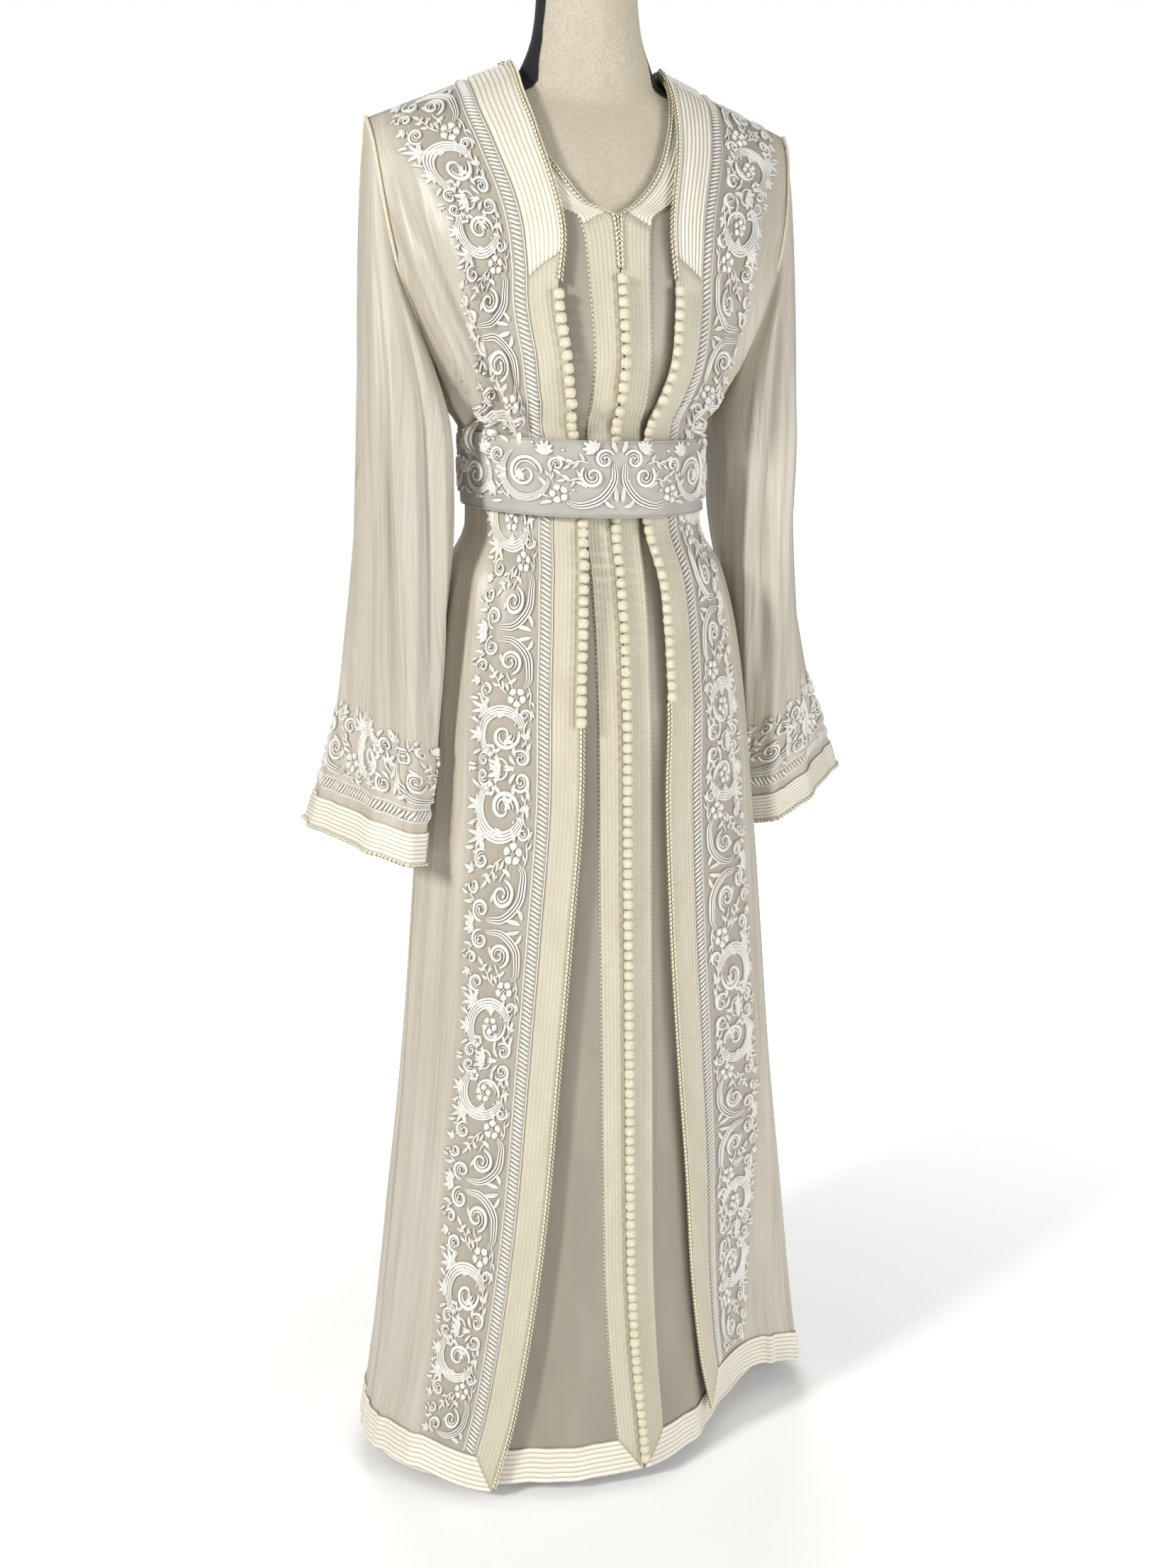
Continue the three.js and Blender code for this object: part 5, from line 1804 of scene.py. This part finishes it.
# How far out the embroidery reaches, as the distance from the middle, by height
REACH = {
    -1: rows(
        "z x",
        (0.114, 0.215),
        (0.205, 0.202),
        (0.404, 0.185),
        (0.560, 0.167),
        (0.709, 0.159),
        (0.854, 0.151),
        (0.946, 0.139),
        (1.036, 0.121),
        (1.161, 0.136),
        (1.248, 0.153),
        (1.372, 0.178),
        (1.418, 0.200),
    ),
    1: rows(
        "z x",
        (0.151, 0.170),
        (0.357, 0.173),
        (0.524, 0.160),
        (0.685, 0.147),
        (0.839, 0.139),
        (0.918, 0.126),
        (1.031, 0.114),
        (1.202, 0.128),
        (1.300, 0.150),
        (1.372, 0.172),
        (1.418, 0.196),
    ),
}
REACH_FROM_SEAM = 0.006
LEAST_REACH = 0.05


def embroidery_reach(patch, side, near):
    """The embroidery's outer edge across a front, by distance along it"""
    wanted = read(REACH[side], "z", "x", patch.heights)
    outwards = np.abs(patch.points[..., 0])
    across = np.array([np.interp(x, line, patch.across) for x, line in zip(wanted, outwards)])
    across = np.minimum(across, patch.widths - REACH_FROM_SEAM)
    across = np.maximum(across, near(patch.along) + LEAST_REACH)
    return lambda along: np.interp(along, patch.along, across)


BORDER_MESH = stroke_mesh(BORDER)
# The two fillings of the border's crescent
SCROLL_RING = stroke_mesh(scroll(109, 34, 17, -160, -370, 5.6, 3) + fan(113, 33, 150, 120, 3, 13))
ROSE_RING = stroke_mesh(
    scroll(109, 35, 20, -160, -230, 4.6, 3)
    + rose(107, 36, 10)
    + fan(88, 36, 100, 90, 3, 9)
    + fan(118, 24, 20, 90, 3, 9)
)
BLOCKS = 10
# The blocks differ a little in length.
BLOCK_SWING = 0.11
BLOCK_TURN = 2.3


def front_embroidery(patch, near, far, start, end, side):
    """The scrolling border up a front, block by block, every other block turned over"""
    sizes = 1 + BLOCK_SWING * np.sin(np.arange(BLOCKS) * BLOCK_TURN + side)
    marks = start + (end - start) * np.concatenate([[0], np.cumsum(sizes)]) / sizes.sum()
    parts = []
    for block in range(BLOCKS):
        turned = block % 2 == 1

        def place(along, out, block=block, turned=turned):
            along = BORDER_LENGTH - along if turned else along
            run = marks[block] + (marks[block + 1] - marks[block]) * along / BORDER_LENGTH
            run = np.clip(run, start, end)
            return run, near(run) + (far(run) - near(run)) * out / BORDER_WIDTH

        ring = ROSE_RING if (block // 2 + (side > 0)) % 2 else SCROLL_RING
        for mesh in (BORDER_MESH, ring):
            parts.append(sewn(patch, mesh, place, mirrored=turned))
    return joined(parts)


# Where the upright braid and the neck band meet: a height, and how much of it slants
MITRE = {"under": (1.327, 0.018), "over": (1.281, 0.022)}
LAYERS = {
    "under": {
        "layer": UNDER,
        "cut": "underdress",
        "cloth": SATIN,
        "slot": "satin",
        "rows": {"front": 130, "back": 100},
        "columns": {"front": 30, "back": 50},
    },
    "over": {
        "layer": OVER,
        "cut": "overdress",
        "cloth": CREPE,
        "slot": "crepe",
        "rows": {"front": 150, "back": 130},
        "columns": {"front": 46, "back": 80},
    },
}
KNIT_STEP = 0.010
BACK_HEM_STEP = 0.009
HEM_STATIONS = 72
END_GAP = 0.002
NECK_BAND_GAP = 0.0004
# Where the edge cords run across a patch from its edge, and how far they stop from other trims
OVER_CORD_AT = -0.0016
UNDER_CORD_AT = -0.0002
BACK_CORD_AT = 0.0005
CORD_GAP = {"hem": 0.004, "over": 0.006, "under": 0.004, "back": 0.036}
# The thread beside the underdress's braid
BRAID_THREAD = {"off": 0.0006, "wide": 0.0014, "rise": 0.0012}
ROPE_GAP = 0.0010
STITCH_GAP = 0.0015
STITCH_END_GAP = 0.006
BACK_NECK_BAND = 0.034


def front_bands(prefix, side, patch, width):
    """The upright braid, the neck band above it and the hem band, mitred where they meet"""
    middle, slope = MITRE[prefix]
    turn = along_at(patch, middle)
    top = patch.length - NECK_BAND_GAP

    def foot(q):
        return q * HEM_BAND

    def mitre(q):
        return turn + slope * (0.5 - q)

    upright = banded(patch, steady(0), width, foot, mitre, KNIT_RIBS, KNIT_RISE, KNIT_STEP)
    neck = banded(patch, steady(0), width, offset(mitre, SEAM), steady(top), NECK_RIBS, RIB_RISE)

    q = np.linspace(0, 1, HEM_RIBS * RIB_POINTS + 1)
    t = np.linspace(0, 1, HEM_STATIONS)[:, None]
    along = q * HEM_BAND + 0 * t
    first = width(0) * q + SEAM
    across = first + (np.interp(along, patch.along, patch.widths) - first) * t
    hem = ribbed_wall(patch, along, across, q, HEM_RIBS, RIB_RISE, across)

    made = []
    for label, mesh, material in (
        ("band", upright, KNITTED),
        ("neck_band", neck, RIBBED),
        ("hem_band", hem, RIBBED),
    ):
        part = f"{label}_{side_word(side)}"
        name = f"{LAYERS[prefix]['cut']}_{part}"
        made.append(new_piece(name, *mesh, material, "braid", [f"{prefix}_{part}"]))
    return made


def build_front(prefix, side):
    spec = LAYERS[prefix]
    layer = spec["layer"]
    word = side_word(side)
    patch = front_patch(layer, side)
    width = width_by_height(patch, layer["band"])
    trims = front_bands(prefix, side, patch, width)
    top = patch.length - END_GAP
    if prefix == "over":
        high, low = (along_at(patch, z) for z in OVER_KNOTS[side])
        at = steady(OVER_CORD_AT)
        cords = [
            plait(patch, at, CORD_GAP["hem"], low),
            plait(patch, at, high + CORD_GAP["over"], top),
        ]
        near = offset(width, ROPE_GAP)
        rope = rope_border(patch, near, HEM_BAND + END_GAP, top)
        trims.append(new_piece(f"overdress_rope_border_{word}", *rope, SILK, "crepe"))
        begin = offset(offset(near, ROPE_SPAN), STITCH_GAP)
        reach = embroidery_reach(patch, side, begin)
        ends = (HEM_BAND + STITCH_END_GAP, patch.length - STITCH_END_GAP)
        stitches = front_embroidery(patch, begin, reach, *ends, side)
        trims.append(new_piece(f"overdress_embroidery_{word}", *stitches, SILK, "crepe"))
    else:
        high = along_at(patch, UNDER_KNOTS[0])
        thread = offset(width, BRAID_THREAD["off"])
        cords = [
            plait(patch, steady(UNDER_CORD_AT), high + CORD_GAP["under"], top),
            run_line(patch, thread, HEM_BAND, top, BRAID_THREAD["wide"], BRAID_THREAD["rise"]),
        ]
    trims.append(new_piece(f"{spec['cut']}_edge_cord_{word}", *joined(cords), PICOT, "braid"))

    level = level_steps(layer, spec["rows"]["front"])
    inner = front_edge_deg(layer, side, level)
    share = np.linspace(0, 1, spec["columns"]["front"] + 1)
    deg = inner + (outer_edge_deg(layer, level) - inner) * share
    points = cloth_point(layer, side * deg, level)
    points[-1, :, 1] -= SEAM / 2
    part = f"front_{word}"
    name = f"{spec['cut']}_{part}"
    node = f"{prefix}_{part}"
    piece = panel_piece(name, points, spec["cloth"], spec["slot"], node)
    if prefix == "over":
        mark_stitched(piece, patch, near, reach)


def build_back(prefix):
    spec = LAYERS[prefix]
    layer = spec["layer"]
    cut = spec["cut"]
    level = level_steps(layer, spec["rows"]["back"])
    across = np.linspace(1, -1, spec["columns"]["back"] + 1) * outer_edge_deg(layer, level)
    points = cloth_point(layer, *back_turns(across, level))
    points[-1, :, 1] += SEAM / 2
    hem = back_hem_patch(layer)
    neck = back_neck_patch(layer)
    for label, patch, width, ribs, step in (
        ("hem_band_back", hem, HEM_BAND, HEM_RIBS, BACK_HEM_STEP),
        ("neck_band_back", neck, BACK_NECK_BAND, NECK_RIBS, BAND_STEP),
    ):
        ends = (steady(SEAM), steady(patch.length - SEAM))
        band = banded(patch, steady(0), steady(width), *ends, ribs, RIB_RISE, step)
        new_piece(f"{cut}_{label}", *band, RIBBED, "braid", [f"{prefix}_{label}"])
    cord = plait(neck, steady(BACK_CORD_AT), CORD_GAP["back"], neck.length - CORD_GAP["back"])
    new_piece(f"{cut}_edge_cord_back", *cord, PICOT, "braid")
    node = f"{prefix}_back"
    panel_piece(f"{cut}_back", points, spec["cloth"], spec["slot"], node)


# Sleeves

ARMHOLE_CORD = {"radius": 0.0016, "twist": 0.0005, "turns": 800, "lift": 0.0006, "sides": 8}


def armhole_cord(side):
    """A twisted cord that covers the seam where a sleeve is set in"""
    sides = ARMHOLE_CORD["sides"]
    phi = np.linspace(0, 2 * np.pi, 421)[:-1]
    seam = creased_sleeve(side, phi, np.array([[-1], [-0.97]]))
    normals = grid_normals(seam, True)[0]
    line = seam[0] + normals * ARMHOLE_CORD["lift"]
    ahead = unit(np.roll(line, -1, 0) - np.roll(line, 1, 0))
    beside = unit(np.cross(ahead, normals))
    run = lengths(line[:, None], 0)
    turn = np.linspace(0, 2 * np.pi, sides + 1)[None, :-1]
    twist = np.abs(np.sin(run * ARMHOLE_CORD["turns"] + turn))
    radius = ARMHOLE_CORD["radius"] + ARMHOLE_CORD["twist"] * twist
    around = normals[:, None] * np.sin(turn)[..., None] + beside[:, None] * np.cos(turn)[..., None]
    points = line[:, None] + radius[..., None] * around
    points = np.concatenate([points, points[:1]])
    run = np.concatenate([run, run[-1:] + 0.001])
    flat = np.stack(np.broadcast_arrays(ARMHOLE_CORD["radius"] * turn, run), -1)
    faces = grid_faces(len(points), sides, True)
    name = f"armhole_cord_{side_word(side)}"
    return new_piece(name, points.reshape(-1, 3), faces, flat.reshape(-1, 2), WOUND, "braid")


SLEEVE_COLUMNS = 84
SLEEVE_HEAD_ROWS = 17
SLEEVE_ROWS = 63
CUFF_GAP = 0.010
CUFF_BLOCKS = 3
# The cuff's embroidery is wider on the outside of the arm than on the inside.
CUFF_REACH = 0.064
CUFF_REACH_SWING = 0.014


def build_sleeve(side):
    word = side_word(side)
    phi = np.linspace(0, 2 * np.pi, SLEEVE_COLUMNS + 1)[:-1]
    head = np.linspace(-1, 0, SLEEVE_HEAD_ROWS + 1)
    fall = np.concatenate([head, np.linspace(0, 1, SLEEVE_ROWS + 1)[1:]])[:, None]
    points = creased_sleeve(side, phi, fall)
    patch = cuff_patch(side)
    length = patch.length
    band = banded(patch, steady(0), steady(CUFF_BAND), steady(0), steady(length), CUFF_RIBS, RIB_RISE)
    trims = [new_piece(f"sleeve_cuff_band_{word}", *band, RIBBED, "braid", [f"cuff_band_{word}"])]
    rope = rope_border(patch, steady(CUFF_BAND + CUFF_GAP), 0, length - 0.004)
    trims.append(new_piece(f"sleeve_rope_border_{word}", *rope, SILK, "crepe"))
    cord = plait(patch, steady(0), 0, length)
    trims.append(new_piece(f"sleeve_edge_cord_{word}", *cord, PICOT, "braid"))
    base = CUFF_BAND + CUFF_GAP + ROPE_SPAN + STITCH_GAP
    parts = []
    for block in range(CUFF_BLOCKS):

        def place(along, out, block=block):
            run = (block + along / BORDER_LENGTH) * (length / CUFF_BLOCKS)
            reach = CUFF_REACH - CUFF_REACH_SWING * np.cos(2 * np.pi * run / length)
            return run % length, base + out / BORDER_WIDTH * reach

        parts.append(sewn(patch, BORDER_MESH, place))
        parts.append(sewn(patch, SCROLL_RING, place))
    trims.append(new_piece(f"sleeve_embroidery_{word}", *joined(parts), SILK, "crepe"))
    trims.append(armhole_cord(side))
    name = f"sleeve_cloth_{word}"
    panel_piece(name, points, CREPE, "crepe", f"sleeve_{word}", True)


# Knotted buttons

BELT_MIDDLE = (BELT["low"] + BELT["high"]) / 2
BELT_HEIGHT = BELT["high"] - BELT["low"]
FREE_OVER = 0.012
FREE_FROM = 0.3


def free_of_belt(z):
    """0 for a knot that the belt presses flat, to 1 for one clear of it"""
    return smooth((np.abs(z - BELT_MIDDLE) - BELT_HEIGHT / 2) / FREE_OVER - FREE_FROM)


def knot_places(layer, span, deg_at, stand):
    """Centres of a row's knots, their outward directions and heights"""
    high, low = span
    count = round((high - low) / KNOT["pitch"])
    z = high + (low - high) * (np.arange(count) + 0.5) / count
    level = level_at(z)
    deg = deg_at(z, level)
    normals = body_normal(layer, deg, level)
    return cloth_point(layer, deg, level) + normals * stand, normals, z


def build_knots():
    def middle(z, level):
        right, left = (read(UNDER_EDGE, "z", word, z) for word in ("right", "left"))
        return np.degrees(np.arcsin((left - right) / 2 / side_at(UNDER, level)))

    stand = SEAM + TRIM + RESTING + KNOT["deep"]
    points, normals, z = knot_places(UNDER, UNDER_KNOTS, middle, stand)
    mesh = knots(points, normals, np.full(len(z), KNOT["deep"]))
    new_piece("underdress_buttons", *mesh, WOUND, "knots", ["under_buttons"])
    for side in (-1, 1):
        word = side_word(side)

        def edge(z, level, side=side, word=word):
            return side * np.degrees(np.arcsin(read(OVER_EDGE, "z", word, z) / side_at(OVER, level)))

        points, normals, z = knot_places(OVER, OVER_KNOTS[side], edge, 2 * SEAM + TRIM)
        deep = KNOT["deep"] * (KNOT["pressed"] + (1 - KNOT["pressed"]) * free_of_belt(z))
        mesh = knots(points + normals * deep[:, None], normals, deep)
        new_piece(f"overdress_buttons_{word}", *mesh, WOUND, "knots", [f"over_buttons_{word}"])


# Belt

BELT_SWELL = 0.0010
# The belt's two runs of ornament on each side: one from its centre front, and the other turned
# over from this far round; both start this far above its lower edge.
BELT_TURNED_FROM = 0.348
BELT_STITCHES_UP = 0.005
BELT_STITCHES_OFF = 0.0009
BINDING = {"in": 0.0012, "wide": 0.0016, "rise": 0.0010}


def build_belt():
    share = np.linspace(0, 1, 15)[:, None]
    deg = np.linspace(-180, 180, 181)[None, :-1]
    outer = belt_point(deg, share)
    normals = grid_normals(outer, True)
    swell = BELT_SWELL * np.sin(np.pi * share) ** 0.5
    outer = outer + normals * swell[..., None]
    inner = outer - normals * (BELT["thick"] + swell)[..., None]
    across = lengths(outer, 1)
    flat = np.stack([across, np.broadcast_to(share * BELT_HEIGHT, across.shape)], -1)
    belt = new_piece("belt_band", *thin_wall(outer, inner, flat, True), BELT_SATIN, "belt_satin", ["belt"])

    patch = belt_patch()
    middle = patch.length / 2
    mesh = stroke_mesh(BELT_ORNAMENT)
    parts = []
    for side in (-1, 1):

        def onwards(along, out, side=side):
            return middle + side * along / 1000, BELT_STITCHES_UP + out / 1000

        def turned(along, out, side=side):
            return middle + side * (BELT_TURNED_FROM - along / 1000), BELT_STITCHES_UP + out / 1000

        parts.append(sewn(patch, mesh, onwards, BELT_STITCHES_OFF, side < 0))
        parts.append(sewn(patch, mesh, turned, BELT_STITCHES_OFF, side > 0))
    trims = [new_piece("belt_embroidery", *joined(parts), SILK, "crepe")]
    lines = [
        run_line(patch, steady(at), 0, patch.length, BINDING["wide"], BINDING["rise"])
        for at in (BINDING["in"], BELT_HEIGHT - BINDING["in"])
    ]
    trims.append(new_piece("belt_edge_binding", *joined(lines), BELT_SATIN, "belt_satin"))


# Dress form

def closed_loft(rings, ends):
    """Points and faces of a loft through rings, drawn in to a point at each end"""
    first, last = (np.broadcast_to(end, rings[0].shape) for end in ends)
    rings = np.stack([first, *rings, last])
    return rings.reshape(-1, 3), grid_faces(len(rings), rings.shape[1], True)


FORM_COLUMNS = 96
NECK_RINGS = 60
FORM_VOXEL = 0.007


def build_form():
    """The form's padded body and neck, merged and smoothed into one skin"""
    deg = np.linspace(-180, 180, FORM_COLUMNS + 1)[:-1]
    lower = np.linspace(FORM["hem"], ARMPIT_Z, 26)
    levels = np.concatenate([lower, np.linspace(ARMPIT_Z, NECK_SIDE_Z - 0.003, 28)[1:]])
    rings = []
    for level in levels:
        ring = body_point(FORM, deg, level)
        share = share_of(level)
        ring[:, 0] *= 1 + (FORM_TIP - 1) * share
        behind = ring[:, 1] > RIDGE_Y
        ring[behind, 1] = RIDGE_Y + (ring[behind, 1] - RIDGE_Y) * (1 + (FORM_BACK - 1) * share)
        rings.append(ring)
    torso = closed_loft(rings, [(0, 0, FORM["hem"]), (0, RIDGE_Y, levels[-1])])
    turn = np.radians(deg)
    rings = []
    for z in np.linspace(NECK["z"][0], NECK["z"][-1], NECK_RINGS):
        side, front = (read(NECK, "z", column, z) for column in ("side", "front"))
        rings.append(np.stack([side * np.sin(turn), NECK_Y - front * np.cos(turn), z + 0 * turn], -1))
    neck = closed_loft(rings, [(0, NECK_Y, NECK["z"][0]), (0, NECK_Y, NECK["z"][-1])])
    points, faces, _ = joined([(*torso, torso[0][:, :2]), (*neck, neck[0][:, :2])])

    rough = bpy.data.meshes.new("form_rough")
    rough.from_pydata(points.tolist(), [], faces.tolist())
    rough.validate()
    raw = bpy.data.objects.new("form_rough", rough)
    scene.collection.objects.link(raw)
    remesh = raw.modifiers.new("skin", "REMESH")
    remesh.mode = "VOXEL"
    remesh.voxel_size = FORM_VOXEL
    soften = raw.modifiers.new("soften", "SMOOTH")
    soften.factor = 0.5
    soften.iterations = 5
    bpy.context.view_layer.update()
    graph = bpy.context.evaluated_depsgraph_get()
    skin = bpy.data.meshes.new_from_object(raw.evaluated_get(graph))
    skin.name = "form_cover"
    bpy.data.objects.remove(raw)
    skin.shade_smooth()
    skin.materials.clear()
    skin.materials.append(LINEN)
    cover = bpy.data.objects.new("form_cover", skin)
    scene.collection.objects.link(cover)
    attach(cover, "root")
    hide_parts("form_body")


def refinish(node, material):
    """Puts a finish on a CAD node that is kept as it is"""
    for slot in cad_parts[node].material_slots:
        slot.material = material


build_form()
refinish("form_neck_cap", LACQUER)
refinish("stand_pole", STEEL)
refinish("stand_base", STEEL)
for prefix in ("under", "over"):
    build_back(prefix)
    for side in (-1, 1):
        build_front(prefix, side)
for side in (-1, 1):
    build_sleeve(side)
build_knots()
build_belt()


# Floor, backdrop and light

def stage_floor():
    """A pale floor that fades to white away from the part"""
    half = 30
    corners = [(-half, -half, 0), (half, -half, 0), (half, half, 0), (-half, half, 0)]
    mesh = bpy.data.meshes.new("floor")
    mesh.from_pydata(corners, [], [(0, 1, 2, 3)])
    material, tree, shader = finish("floor_paper", Roughness=0.9, Emission_Strength=1.0)
    place = on_object(tree)
    mask = uneven(tree, place, 3, 3)
    tree.put(shader.inputs["Base Color"], tree.mix(mask, (0.90, 0.90, 0.90, 1), (0.92, 0.92, 0.92, 1)))
    away = tree.add("ShaderNodeVectorMath", {0: place}, operation="LENGTH").outputs["Value"]
    far = tree.add("ShaderNodeMapRange", {"Value": away, "From Min": 0.35, "From Max": 2.6}).outputs[0]
    glow = tree.mix(far, (0.16, 0.16, 0.16, 1), (0.8, 0.8, 0.8, 1))
    path = tree.add("ShaderNodeLightPath")
    tree.put(shader.inputs["Emission Color"], tree.mix(path.outputs["Is Camera Ray"], (0, 0, 0, 1), glow))
    mesh.materials.append(material)
    floor = bpy.data.objects.new("floor", mesh)
    scene.collection.objects.link(floor)


def soft_light(name, place, aim, size, power, colour):
    """A broad lamp at place that points at aim"""
    data = bpy.data.lights.new(name, "AREA")
    data.shape = "RECTANGLE"
    data.size, data.size_y = size
    data.energy = power
    data.color = colour
    light = bpy.data.objects.new(name, data)
    light.location = place
    light.rotation_euler = (Vector(aim) - Vector(place)).to_track_quat("-Z", "Y").to_euler()
    scene.collection.objects.link(light)


def stage_light():
    """A white studio: seen as plain white, and lighting the part only faintly beside the lamps"""
    world = bpy.data.worlds.new("white_studio")
    scene.world = world
    world.use_nodes = True
    world.node_tree.nodes.clear()
    tree = Tree(world.node_tree)
    seen = tree.add("ShaderNodeBackground", {"Color": (1, 1, 1, 1), "Strength": 1.0})
    glow = tree.add("ShaderNodeBackground", {"Color": (1, 0.99, 0.975, 1), "Strength": 0.25})
    path = tree.add("ShaderNodeLightPath")
    both = tree.add("ShaderNodeMixShader")
    tree.put(both.inputs[0], path.outputs["Is Camera Ray"])
    tree.put(both.inputs[1], glow.outputs[0])
    tree.put(both.inputs[2], seen.outputs[0])
    end = tree.add("ShaderNodeOutputWorld")
    tree.put(end.inputs["Surface"], both.outputs[0])
    warm = (1, 0.98, 0.945)
    neutral = (1, 0.99, 0.975)
    white = (1, 1, 1)
    soft_light("key", (-3.15, -1.45, 2.3), aim=(0, 0, 0.9), size=(0.5, 0.7), power=108, colour=warm)
    soft_light("fill", (1.6, -2.8, 1.3), aim=(0, 0, 0.8), size=(1.6, 2.0), power=64, colour=neutral)
    soft_light("back", (0.6, 2.6, 2.4), aim=(0, 0, 1.0), size=(1.8, 1.8), power=52, colour=white)
    scene.view_settings.view_transform = "Standard"


stage_floor()
stage_light()
